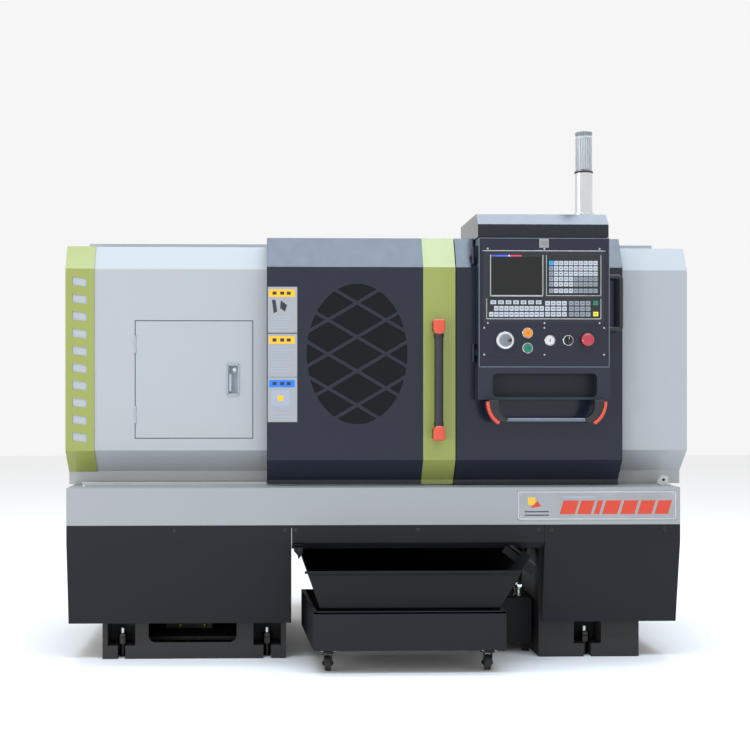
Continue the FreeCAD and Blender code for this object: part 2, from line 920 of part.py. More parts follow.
def headstock_cover():
    """The left enclosure: a folded front, a closed left end with its bar hole, and the access opening."""
    body = slab(sheet(cover_profile, cover_sheet), "x", cover_left, cover_right)
    end = slab(cover_profile[::-1] + [(tray_back, cover_top), (tray_back, tray_top)], "x",
               cover_left, cover_left + cover_sheet)
    body = body.fuse(end).cut(along_x(bar_hole_radius, cover_left - 1, cover_left + cover_sheet + 1))
    gap = access_gap
    body = body.cut(box(
        access_left - gap, access_left + access_size + gap, cover_y - 1, cover_y + cover_sheet + 1,
        access_bottom - gap, access_bottom + access_size + gap,
    ))
    body = body.cut(relief(*access_axis, access_hinges, access_hinge_length, access_hinge_radius, False))
    return body.fuse(fixed_knuckles).removeSplitter()


save("headstock_cover", headstock_cover())
pull_right = access_left + access_size - pull_inset + 17.5
pull_left = pull_right - pull_width
pull_bottom = access_bottom + (access_size - pull_height) / 2.0


def access_door():
    """A flat access door with a window for its recessed pull."""
    body = box(access_left, access_left + access_size, cover_y, cover_y + cover_sheet,
               access_bottom, access_bottom + access_size)
    body = body.cut(relief(*access_axis, access_hinges, access_hinge_length, access_hinge_radius, True))
    body = body.fuse(moving_knuckles).cut(access_pin_holes)
    window = box(pull_left, pull_right, cover_y - 1, cover_y + cover_sheet + 1,
                 pull_bottom, pull_bottom + pull_height)
    return body.cut(window).removeSplitter()


save("access_door", access_door())


def access_door_pull():
    """A recessed cup pull: a flush rim, an open cup and a finger lip."""
    body = box(pull_left, pull_right, cover_y, cover_y + pull_depth, pull_bottom, pull_bottom + pull_height)
    wall = 2.5
    cup = box(pull_left + wall, pull_right - wall, cover_y - 1, cover_y + pull_depth - wall,
              pull_bottom + wall, pull_bottom + pull_height - wall)
    return body.cut(cup)


save("access_door_pull", access_door_pull())


def corner_trim():
    """The coloured sheet over the left corner, with a column of slanted slots."""
    outline = [
        (y, z) for y, z in cover_profile[1:5]
    ]
    skin = sheet(outline[::-1], trim_sheet)
    body = slab(skin, "x", cover_left, cover_left + trim_width)
    pitch = cover_face_height / (trim_slot_count + 0.5)
    for k in range(trim_slot_count):
        low = cover_face_low + pitch * (k + 0.45)
        high = low + pitch * 0.62
        left = cover_left + trim_width * 0.24
        right = cover_left + trim_width * 0.74
        slant = pitch * 0.12
        slot = slab([(left, low + slant), (right, low), (right, high - slant), (left, high)], "y",
                    cover_y - trim_sheet - 1, cover_y + 0.01)
        body = body.cut(slot)
    return body


save("corner_trim", corner_trim())


def tailstock_cover():
    """The right enclosure: the same fold as the left one, closed at its right end."""
    body = slab(sheet(cover_profile, cover_sheet), "x", panel_right, machine_right)
    end = slab(cover_profile[::-1] + [(tray_back, cover_top), (tray_back, tray_top)], "x",
               machine_right - cover_sheet, machine_right)
    return join(body, end)


save("tailstock_cover", tailstock_cover())
hood_top = cover_top + hood_rise
hood_left = cover_left + hood_left_inset
hood_right = machine_right - hood_right_inset


def rear_cover():
    """The back wall and roof, with the raised hood over the middle."""
    t = cover_sheet
    left = cover_left + t
    right = machine_right - t
    body = box(hood_left, hood_right, hood_y, tray_back, tray_top, hood_top)
    body = body.fuse(box(left, right, hood_y, tray_back, tray_top, cover_top))
    hollow = box(hood_left + t, hood_right - t, hood_y + t, tray_back - t, tray_top - 1, hood_top - t)
    open_ends = box(left - 1, right + 1, hood_y - 1, tray_back - t, tray_top - 1, cover_top - t)
    return body.cut([hollow, open_ends]).removeSplitter()


save("rear_cover", rear_cover())

# ---------------------------------------------------------------- sliding door and fixed panel
door_low = tray_top + door_floor_gap
door_slope_low = door_low + door_strip_height - door_floor_gap
door_face_low = door_slope_low + door_lower_slope_height
door_face_high = door_face_low + door_face_height
door_top = door_face_high + door_upper_slope_height
rail_y = hood_y - 58.0
flange_back = rail_y + 14.0


def front_profile(back, bottom):
    """The (y, z) fold line that the door and the fixed panel share, from the top down."""
    return [
        (back, door_top),
        (door_y + door_upper_slope_depth, door_top),
        (door_y, door_face_high),
        (door_y, door_face_low),
        (door_y + door_lower_slope_depth, door_slope_low),
        (door_y + door_lower_slope_depth, bottom),
    ]


door_profile = front_profile(flange_back, door_low)
edge_left = door_right - edge_strip_width
window_x = door_left + window_offset


def window_prism():
    """The oval of the window, through the door's face."""
    middle = V(window_x, door_y - 1, window_z)
    top = middle + V(0, 0, window_height / 2.0)
    side = middle + V(window_width / 2.0, 0, 0)
    oval = Part.Face(Part.Wire([Part.Ellipse(top, side, middle).toShape()]))
    return oval.extrude(V(0, door_sheet + 2, 0))


def lattice():
    """The crossing strips left standing across the window."""
    strips = []
    reach = window_height
    for k in range(-4, 4):
        z = window_z + (k + 0.5) * lattice_pitch
        for lean in (-lattice_angle, lattice_angle):
            strip = box(window_x - reach, window_x + reach, door_y - 2, door_y + door_sheet + 2,
                        z - lattice_width / 2.0, z + lattice_width / 2.0)
            strip.rotate(V(window_x, door_y, z), V(0, 1, 0), lean)
            strips.append(strip)
    return strips


def door_panel():
    """The folded sliding door with its closed left return and latticed oval window."""
    body = slab(sheet(door_profile, door_sheet), "x", door_left, edge_left)
    rim = slab(sheet(door_profile[1:5], door_return), "x", door_left, door_left + door_sheet)
    body = body.fuse(rim)
    return body.cut(window_prism().cut(lattice())).removeSplitter()


save("door_panel", door_panel())
save("door_glass", rounded(
    window_x - window_width / 2.0 - glass_margin, window_x + window_width / 2.0 + glass_margin,
    door_y + door_sheet, door_y + door_sheet + glass_thickness,
    window_z - window_height / 2.0 - glass_margin, window_z + window_height / 2.0 + glass_margin, 30.0,
))


def door_edge_strip():
    """The coloured closing edge of the sliding door, with its right return."""
    body = slab(sheet(door_profile, door_sheet), "x", edge_left, door_right)
    rim = slab(sheet(door_profile[1:5], door_return), "x", door_right - door_sheet, door_right)
    return join(body, rim)


save("door_edge_strip", door_edge_strip())
handle_x = door_right - handle_offset
handle_low = handle_z - handle_length / 2.0
handle_high = handle_z + handle_length / 2.0


def door_handle():
    """A vertical grab handle: a round grip between two capped feet."""
    half = handle_cap_width / 2.0
    outer = door_y - handle_standoff
    grip_y = outer + handle_width / 2.0
    grip = rod(handle_width / 2.0, (handle_x, grip_y, handle_low + 10.0), (handle_x, grip_y, handle_high - 10.0))
    body = grip
    for z in (handle_low, handle_high - handle_cap_length):
        cap = rounded(handle_x - half, handle_x + half, outer - 2.0, door_y,
                      z, z + handle_cap_length, 12.0)
        body = body.fuse(cap)
    return body.removeSplitter()


save("door_handle", door_handle())
rail_top = cover_top + 18.0
guide_y = door_y + door_lower_slope_depth + 27.0


def door_rails():
    """The upper rail on the hood's front, with its upstand, and the low guide bar on the tray."""
    left = cover_left + 52.0
    plate = box(left, panel_left, rail_y - 4.0, hood_y, cover_top, cover_top + 4.0)
    upstand = box(left, panel_left, rail_y - 2.0, rail_y + 2.0, cover_top + 4.0, rail_top)
    guide = box(left, door_right - 3.0, guide_y, guide_y + rail_width, tray_top, tray_top + rail_height)
    return [join(plate, upstand), guide]


save("door_rails", *door_rails())


def door_slides():
    """Nylon blocks: two hang over the upper rail, two straddle the lower guide bar."""
    blocks = []
    gap = slide_gap
    for x in (door_left + 60.0, door_right - 120.0):
        high = box(x, x + 60.0, rail_y - 10.0, rail_y + 10.0, cover_top + 5.0, door_top - door_sheet)
        groove = box(x - 1, x + 61.0, rail_y - 2.0 - gap, rail_y + 2.0 + gap, cover_top, rail_top + gap)
        blocks.append(high.cut(groove))
        inner = door_y + door_lower_slope_depth + door_sheet
        low = box(x, x + 60.0, inner, guide_y + rail_width + 6.0, door_low, door_low + 22.0)
        groove = box(x - 1, x + 61.0, guide_y - gap, guide_y + rail_width + gap,
                     tray_top, tray_top + rail_height + gap)
        blocks.append(low.cut(groove))
    return blocks


save("door_slides", *door_slides())

# ---------------------------------------------------------------- console
console_right = console_left + console_length
console_top = console_bottom + console_height
console_back = console_y + console_depth
face_y = console_y - face_sheet
console_axis = (console_left - 7.0, console_back - 1.0)
console_hinges = [console_bottom + 20.0, console_top - 80.0]
console_hinge_length = 60.0
console_hinge_radius = 6.0
console_fixed, console_moving, console_pin_holes = hinge(
    *console_axis, console_hinges, console_hinge_length, console_hinge_radius
)


def front_panel():
    """The fixed right-hand front, in line with the door, carrying the console's hinge lugs."""
    profile = front_profile(hood_y, tray_top)
    body = slab(sheet(profile, door_sheet), "x", panel_left, panel_right)
    rim_outline = sheet(profile[1:5], panel_return)
    for x in (panel_left, panel_right - door_sheet):
        body = body.fuse(slab(rim_outline, "x", x, x + door_sheet))
    third = console_hinge_length / 3.0
    lugs = list(console_fixed)
    for z in console_hinges:
        for low in (z, z + 2 * third + 0.2):
            lugs.append(box(console_axis[0] - 4.0, console_axis[0] + 4.0, console_axis[1], door_y + 1,
                            low, low + third - 0.2))
    return body.fuse(lugs).removeSplitter()


save("front_panel", front_panel())


def console_housing():
    """The folded console box, open in front, with its moving hinge knuckles."""
    w = console_wall
    body = box(console_left, console_right, console_y, console_back, console_bottom, console_top)
    body = body.cut(box(console_left + w, console_right - w, console_y - 1, console_back - w,
                        console_bottom + w, console_top - w))
    third = console_hinge_length / 3.0
    leaves = list(console_moving)
    for z in console_hinges:
        leaf = box(console_axis[0] + console_hinge_radius * 0.7, console_left + w, console_axis[1] - 4.0,
                   console_axis[1] + 1.0, z + third, z + 2 * third)
        leaves.append(leaf)
    return body.fuse(leaves).cut(console_pin_holes).removeSplitter()


save("console_housing", console_housing())
pocket_y = console_y - pocket_forward
pocket_left = console_left - pocket_margin
pocket_right = console_right + pocket_margin


def console_pocket():
    """The lower box of the console, with one rounded mouth in its front."""
    w = console_wall
    back = pocket_y + pocket_depth
    body = box(pocket_left, pocket_right, pocket_y, back, pocket_bottom, console_bottom)
    hollow = box(mouth_left, mouth_left + mouth_length, pocket_y + w, back - w,
                 pocket_bottom + w, console_bottom - w)
    side = box(pocket_left + w, mouth_left - w, pocket_y + w, back - w, pocket_bottom + w, console_bottom - w)
    other = box(mouth_left + mouth_length + w, pocket_right - w, pocket_y + w, back - w,
                pocket_bottom + w, console_bottom - w)
    mouth = rounded(mouth_left, mouth_left + mouth_length, pocket_y - 1, pocket_y + w + 1,
                    mouth_bottom, mouth_bottom + mouth_height, mouth_radius)
    return body.cut([hollow, side, other, mouth])


save("console_pocket", console_pocket())
controls = [
    (handwheel_x, handwheel_z), (yellow_x, yellow_z), (yellow_x, green_z),
    (key_x, switch_z), (selector_x, switch_z), (stop_x, stop_z),
]


def console_face():
    """The front plate, drilled for the stems of the controls."""
    body = box(console_left, console_right, face_y, console_y, console_bottom, console_top)
    for x, z in controls:
        body = body.cut(rod(stem_radius + stem_gap, (x, face_y - 1, z), (x, console_y + 1, z)))
    return body


save("console_face", console_face())


def bent_bar(points, radius, tube):
    """A round bar along straight runs, with one bend radius at every corner."""
    corners = [V(*p) for p in points]
    edges = []
    start = corners[0]
    for i in range(1, len(corners) - 1):
        before = (corners[i - 1] - corners[i]).normalize()
        after = (corners[i + 1] - corners[i]).normalize()
        half = before.getAngle(after) / 2.0
        reach = radius / math.tan(half)
        first = corners[i] + before * reach
        last = corners[i] + after * reach
        middle_way = (before + after).normalize()
        middle = corners[i] + middle_way * (radius / math.sin(half) - radius)
        edges.append(Part.LineSegment(start, first).toShape())
        edges.append(Part.Arc(first, middle, last).toShape())
        start = last
    edges.append(Part.LineSegment(start, corners[-1]).toShape())
    path = Part.Wire(edges)
    direction = (corners[1] - corners[0]).normalize()
    ring = Part.Wire([Part.Circle(corners[0], direction, tube).toShape()])
    return path.makePipeShell([ring], True, False)


def console_handles():
    """The U-shaped pull under the console and the side grab on its right wall."""
    r = grab_tube / 2.0
    y = pocket_y - grab_forward + r
    top = pocket_bottom + 14.0
    low = pocket_bottom - grab_drop + r
    left = grab_left + r
    right = grab_left + grab_length - r
    pull = bent_bar(
        [(left, pocket_y, top), (left, y, top), (left, y, low),
         (right, y, low), (right, y, top), (right, pocket_y, top)],
        20.0, r,
    )
    side_r = side_grab_tube / 2.0
    side_y = console_y + 36.0
    side_low = side_grab_bottom + side_r
    side_high = side_grab_bottom + side_grab_length - side_r
    reach = console_right + side_grab_reach - side_r
    grab = bent_bar(
        [(console_right, side_y, side_low), (reach, side_y, side_low),
         (reach, side_y, side_high), (console_right, side_y, side_high)],
        18.0, side_r,
    )
    return [pull, grab]


save("console_handles", *console_handles())
screen_frame = box(screen_left, screen_left + screen_length, face_y - screen_depth, face_y,
                   screen_bottom, screen_bottom + screen_height)
screen_well = box(screen_left + 7.0, screen_left + screen_length - 7.0, face_y - screen_depth - 1,
                  face_y - 2.0, screen_bottom + 7.0, screen_bottom + screen_height - 7.0)
save("screen", screen_frame.cut(screen_well))
save(
    "keypads",
    box(keypad_left, keypad_left + keypad_length, face_y - keypad_depth, face_y,
        keypad_bottom, keypad_bottom + keypad_height),
    box(machine_keys_left, machine_keys_left + machine_keys_length, face_y - keypad_depth, face_y,
        machine_keys_bottom, machine_keys_bottom + machine_keys_height),
)


def control(x, z, profile):
    """A turned control on its stem: (radius, reach in front of the plate) steps from the plate out."""
    body = rod(stem_radius, (x, face_y, z), (x, face_y + stem_length, z))
    base = 0.0
    for radius, reach in profile:
        body = body.fuse(rod(radius, (x, face_y - base, z), (x, face_y - reach, z)))
        base = reach
    return body.removeSplitter()


wheel = control(handwheel_x, handwheel_z, [(handwheel_radius, 8.0), (handwheel_radius - 3.0, 16.0)])
crank = rod(5.0, (handwheel_x + 17.0, face_y - 16.0, handwheel_z), (handwheel_x + 17.0, face_y - 30.0, handwheel_z))
save("handwheel", join(wheel, crank))
press_gap = button_travel + 0.5


def push_button(x, z):
    """A capped button that stands clear of the plate by its travel."""
    stem = rod(stem_radius, (x, face_y - press_gap, z), (x, face_y + stem_length, z))
    cap = rod(button_radius, (x, face_y - press_gap - 7.0, z), (x, face_y - press_gap, z))
    return join(stem, cap)


save("yellow_button", push_button(yellow_x, yellow_z))
save("green_button", push_button(yellow_x, green_z))
stop_gap = stop_travel + 0.5
save("emergency_stop", join(
    rod(stem_radius, (stop_x, face_y - stop_gap - 12.0, stop_z), (stop_x, face_y + stem_length, stop_z)),
    rod(stop_radius, (stop_x, face_y - stop_gap - 20.0, stop_z), (stop_x, face_y - stop_gap - 4.0, stop_z)),
))
save("key_switch", join(
    control(key_x, switch_z, [(button_radius, 6.0)]),
    box(key_x - 1.5, key_x + 1.5, face_y - 26.0, face_y - 5.0, switch_z - 9.0, switch_z + 9.0),
))
save("selector_knob", join(
    control(selector_x, switch_z, [(button_radius, 6.0)]),
    box(selector_x - 4.0, selector_x + 4.0, face_y - 18.0, face_y - 5.0, switch_z - 14.0, switch_z + 14.0),
))


def header_box():
    """The cable box over the console: a folded shell seated on the fixed panel's top."""
    right = header_left + header_length
    back = header_y + header_depth
    t = cover_sheet
    lip_back = door_y + door_upper_slope_depth - 12.0
    bevel_low = header_top - header_bevel_height
    outline = [
        (header_y, header_bottom), (header_y, bevel_low), (header_y + header_bevel_depth, header_top),
        (back, header_top), (back, door_top), (lip_back, door_top), (lip_back, header_bottom),
    ]
    body = slab(outline, "x", header_left, right)
    hollow = [
        (header_y + t, header_bottom - 1), (header_y + t, bevel_low - 1.5),
        (header_y + header_bevel_depth + 1.5, header_top - t), (back - t, header_top - t),
        (back - t, door_top - 1), (lip_back - t, door_top - 1), (lip_back - t, header_bottom - 1),
    ]
    return body.cut(slab(hollow, "x", header_left + t, right - t))


save("header_box", header_box())
lamp_top = header_top + lamp_tube_height
save("lamp_tube", join(
    rod(lamp_radius + 6.0, (lamp_x, lamp_y, header_top), (lamp_x, lamp_y, header_top + 12.0)),
    rod(lamp_radius, (lamp_x, lamp_y, header_top), (lamp_x, lamp_y, lamp_top)),
))
save("lamp_lens", rod(lamp_lens_radius, (lamp_x, lamp_y, lamp_top), (lamp_x, lamp_y, lamp_top + lamp_lens_height)))

# ---------------------------------------------------------------- lubricator and cabinet
lubricator_top = lubricator_bottom + lubricator_height
save("lubricator", join(
    rounded(machine_right, machine_right + lubricator_reach, lubricator_y,
            lubricator_y + lubricator_width, lubricator_bottom, lubricator_top - 90.0, 10.0, "z"),
    rounded(machine_right, machine_right + lubricator_reach - 12.0, lubricator_y + 10.0,
            lubricator_y + lubricator_width - 10.0, lubricator_top - 90.0, lubricator_top, 10.0, "z"),
))
cabinet_right = cabinet_left + cabinet_length
cabinet_back = tray_back + cabinet_depth
cabinet_top = cabinet_bottom + cabinet_height
cabinet_axis = (cabinet_left - 4.0, cabinet_back)
cabinet_hinges = [cabinet_bottom + 60.0, cabinet_top - 150.0]
cabinet_hinge_length = 90.0
cabinet_hinge_radius = 5.0
cabinet_fixed, cabinet_moving, cabinet_pin_holes = hinge(
    *cabinet_axis, cabinet_hinges, cabinet_hinge_length, cabinet_hinge_radius
)


def electrical_cabinet():
    """The folded cabinet on the back wall, open to the rear, with its mounting plate inside."""
    w = cabinet_wall
    body = box(cabinet_left, cabinet_right, tray_back, cabinet_back, cabinet_bottom, cabinet_top)
    body = body.cut(box(cabinet_left + w, cabinet_right - w, tray_back + w, cabinet_back + 1,
                        cabinet_bottom + w, cabinet_top - w))
    body = body.cut(relief(*cabinet_axis, cabinet_hinges, cabinet_hinge_length, cabinet_hinge_radius, False))
    return body.fuse(cabinet_fixed).removeSplitter()


save("electrical_cabinet", electrical_cabinet())


def cabinet_door():
    """The flat rear door of the cabinet."""
    body = box(cabinet_left, cabinet_right, cabinet_back, cabinet_back + cover_sheet,
               cabinet_bottom, cabinet_top)
    body = body.cut(relief(*cabinet_axis, cabinet_hinges, cabinet_hinge_length, cabinet_hinge_radius, True))
    return body.fuse(cabinet_moving).cut(cabinet_pin_holes).removeSplitter()


save("cabinet_door", cabinet_door())


# ---------------------------------------------------------------- chips and coolant
def frustum(left, length, front, depth, top, mouth_left, mouth_length, mouth_front, mouth_depth, low):
    """A four-sided funnel solid between two level rectangles."""
    def ring(x, dx, y, dy, z):
        corners = [V(x, y, z), V(x + dx, y, z), V(x + dx, y + dy, z), V(x, y + dy, z)]
        return Part.makePolygon(corners + corners[:1])
    rings = [
        ring(mouth_left, mouth_length, mouth_front, mouth_depth, low),
        ring(left, length, front, depth, top),
    ]
    return Part.makeLoft(rings, True, True)


def chip_hopper():
    """The funnel under the tray: a low front panel, and two flared sides that clear the middle skirt."""
    t = hopper_sheet
    outer = frustum(hopper_left, hopper_length, hopper_front, hopper_depth, tray_bottom,
                    hopper_mouth_left, hopper_mouth_length, hopper_mouth_front, hopper_mouth_depth,
                    hopper_mouth_z)
    inner = frustum(hopper_left + t, hopper_length - 2 * t, hopper_front + t, hopper_depth - 2 * t,
                    tray_bottom, hopper_mouth_left + t, hopper_mouth_length - 2 * t,
                    hopper_mouth_front + t, hopper_mouth_depth - 2 * t, hopper_mouth_z)
    panel_top = hopper_mouth_z + hopper_panel_height
    hopper_right = hopper_left + hopper_length
    upper = box(hopper_left, hopper_right, hopper_mouth_front - 50.0, spindle_y, panel_top, tray_bottom + 1)
    doorway = inner.translated(V(0, -4 * t, 0)).common(upper)
    skirt_low = tray_bottom - skirt_fold_drop - middle_skirt_return - hopper_skirt_clearance
    skirt_back = tray_front + middle_skirt_return + hopper_skirt_clearance
    notch = box(hopper_left - 1, hopper_right + 1, hopper_mouth_front - 50.0, skirt_back, skirt_low, tray_bottom + 1)
    return outer.cut([inner, doorway, notch])


save("chip_hopper", chip_hopper())


def coolant_tank():
    """The coolant tank beside the cart, on four feet, and the pump that stands on it."""
    right = tank_left + tank_length
    back = tank_front + tank_depth
    top = tank_bottom + tank_height
    body = box(tank_left, right, tank_front, back, tank_bottom, top)
    t = cover_sheet
    body = body.cut(box(tank_left + t, right - t, tank_front + t, back - t, tank_bottom + t, top - t))
    for x in (tank_left + 6.0, right - 30.0):
        for y in (tank_front + 20.0, back - 44.0):
            body = body.fuse(box(x, x + 24.0, y, y + 24.0, 0, tank_bottom))
    pump_x = tank_left + tank_length / 2.0
    pump_y = back - pump_radius - 20.0
    pump = rod(pump_radius, (pump_x, pump_y, top), (pump_x, pump_y, top + pump_height))
    return [body.removeSplitter(), pump]


save("coolant_tank", *coolant_tank())

# ---------------------------------------------------------------- chip cart
cart_right = cart_left + cart_length
cart_back = cart_front + cart_depth
cart_top = cart_bottom + cart_height
caster_y = cart_front + caster_setback
caster_plate = 4.0
kingpin_radius = 5.0
fork_top = cart_bottom - caster_plate - 0.4
rear_axle_y = cart_back - rear_wheel_setback
rear_axle_radius = 6.0
caster_xs = {"left": caster_left_x, "right": caster_right_x}


def cart_body():
    """The open sheet bin, wider at the back, with its caster plates and rear axle brackets."""
    t = cart_sheet
    body = slab(
        [(cart_left, cart_front), (cart_right, cart_front),
         (cart_right + cart_flare, cart_back), (cart_left - cart_flare, cart_back)],
        "z", cart_bottom, cart_top,
    )
    body = body.cut(slab(
        [(cart_left + t, cart_front + t), (cart_right - t, cart_front + t),
         (cart_right + cart_flare - t, cart_back - t), (cart_left - cart_flare + t, cart_back - t)],
        "z", cart_bottom + t, cart_top + 1,
    ))
    for x in caster_xs.values():
        plate = box(x - 28.0, x + 28.0, caster_y - 28.0, caster_y + 28.0,
                    cart_bottom - caster_plate, cart_bottom)
        hole = rod(kingpin_radius + running_gap, (x, caster_y, cart_bottom - caster_plate - 1),
                   (x, caster_y, cart_bottom - 0.5))
        body = body.fuse(plate).cut(hole)
    for x in (caster_left_x + 24.0, caster_right_x - 24.0):
        bracket = box(x - 2.0, x + 2.0, rear_axle_y - 20.0, rear_axle_y + 20.0,
                      rear_wheel_radius - 14.0, cart_bottom)
        hole = rod(rear_axle_radius + running_gap, (x - 3.0, rear_axle_y, rear_wheel_radius),
                   (x + 3.0, rear_axle_y, rear_wheel_radius))
        body = body.fuse(bracket).cut(hole)
    return body.removeSplitter()


save("cart_body", cart_body())


def caster_fork(x):
    """A swivel fork: kingpin, crown, two cheeks and the wheel's axle."""
    axle_y = caster_y + caster_trail
    half = caster_width / 2.0 + 1.0
    crown = rod(20.0, (x, caster_y, fork_top - 5.0), (x, caster_y, fork_top))
    kingpin = rod(kingpin_radius, (x, caster_y, fork_top), (x, caster_y, cart_bottom - 0.9))
    body = crown.fuse(kingpin)
    for side in (-1, 1):
        inner = x + side * half
        outer = inner + side * 3.0
        cheek = slab(
            [(caster_y - 12.0, fork_top - 5.0), (caster_y + 16.0, fork_top - 5.0),
             (axle_y + 8.0, caster_radius - 8.0), (axle_y - 8.0, caster_radius - 8.0)],
            "x", min(inner, outer), max(inner, outer),
        )
        body = body.fuse(cheek)
    axle = rod(caster_axle_radius, (x - half - 5.0, axle_y, caster_radius), (x + half + 5.0, axle_y, caster_radius))
    return body.fuse(axle).removeSplitter()


def wheel_disc(radius, width, x, y, bore):
    """A wheel with a rounded tread and a through bore."""
    disc = rod(radius, (x - width / 2.0, y, radius), (x + width / 2.0, y, radius))
    rims = [e for e in disc.Edges if e.Length > 2 * math.pi * radius - 1]
    disc = disc.makeFillet(3.0, rims)
    return disc.cut(rod(bore, (x - width, y, radius), (x + width, y, radius)))


for side, x in caster_xs.items():
    save("caster_fork_" + side, caster_fork(x))
    save("caster_wheel_" + side, wheel_disc(
        caster_radius, caster_width, x, caster_y + caster_trail, caster_axle_radius + running_gap
    ))
rear_left = caster_left_x
rear_right = caster_right_x
rear_set = rod(rear_axle_radius, (rear_left - 14.0, rear_axle_y, rear_wheel_radius),
               (rear_right + 14.0, rear_axle_y, rear_wheel_radius))
for x in (rear_left, rear_right):
    rear_set = rear_set.fuse(wheel_disc(rear_wheel_radius, rear_wheel_width, x, rear_axle_y, 1.0))
save("rear_wheels", rear_set.removeSplitter())

whole = Part.makeCompound(list(shapes.values())).BoundBox
print(len(shapes), "nodes", [round(v, 1) for v in
      (whole.XMin, whole.XMax, whole.YMin, whole.YMax, whole.ZMin, whole.ZMax)])
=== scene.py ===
# %% [markdown]
# # An enclosed CNC turning lathe
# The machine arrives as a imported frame: every casting, cover, shaft and wheel is already a solid at
# its real size. This lesson gives each of them its finish, and adds the pieces that are too small or
# too fine for the frame: screws, key caps, trims, threads, labels and hoses.
# The frame never moves, so most places below are worked out from its own boxes. The rest are given
# straight in its millimetres.

# %% Load the frame
import math

import bmesh
import bpy
from mathutils import Matrix, Vector


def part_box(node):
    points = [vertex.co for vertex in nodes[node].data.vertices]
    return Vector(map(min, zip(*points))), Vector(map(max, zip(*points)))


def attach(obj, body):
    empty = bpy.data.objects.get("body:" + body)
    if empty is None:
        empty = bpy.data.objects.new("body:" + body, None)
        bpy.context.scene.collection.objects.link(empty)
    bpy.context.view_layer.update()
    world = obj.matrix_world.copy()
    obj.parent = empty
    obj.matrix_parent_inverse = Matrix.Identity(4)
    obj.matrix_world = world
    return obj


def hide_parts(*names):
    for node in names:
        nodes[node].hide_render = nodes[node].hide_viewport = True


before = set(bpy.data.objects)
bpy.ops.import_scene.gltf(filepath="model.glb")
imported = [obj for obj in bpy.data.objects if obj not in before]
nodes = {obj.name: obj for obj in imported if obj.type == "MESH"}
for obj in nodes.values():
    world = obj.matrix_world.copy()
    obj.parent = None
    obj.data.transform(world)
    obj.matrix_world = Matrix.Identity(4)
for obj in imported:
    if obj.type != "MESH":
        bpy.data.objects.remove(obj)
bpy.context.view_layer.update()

MM = 0.001

# %% [markdown]
# ## Shader maths written as Python
# A material in Blender is a graph of nodes. Wiring a sum by hand takes three lines, so one small
# class wraps a socket and turns +, -, * and / into Math nodes. Any other node comes from one method
# that sets the node's options first and then fills or links its sockets.

# %% A socket that can be added and multiplied
class Value:
    """A number that varies over a surface."""

    def __init__(self, finish, socket):
        self.finish = finish
        self.socket = socket

    def math(self, operation, left, right):
        return self.finish.node("ShaderNodeMath", {"operation": operation}, {0: left, 1: right})

    def __add__(self, other):
        return self.math("ADD", self, other)

    def __radd__(self, other):
        return self.math("ADD", other, self)

    def __sub__(self, other):
        return self.math("SUBTRACT", self, other)

    def __rsub__(self, other):
        return self.math("SUBTRACT", other, self)

    def __mul__(self, other):
        return self.math("MULTIPLY", self, other)

    def __rmul__(self, other):
        return self.math("MULTIPLY", other, self)

    def __truediv__(self, other):
        return self.math("DIVIDE", self, other)

    def power(self, exponent):
        return self.math("POWER", self, exponent)

    def wave(self):
        return self.math("SINE", self, 0.0)

    def clear(self):
        """Kept between 0 and 1."""
        return self.math("MINIMUM", self.math("MAXIMUM", self, 0.0), 1.0)


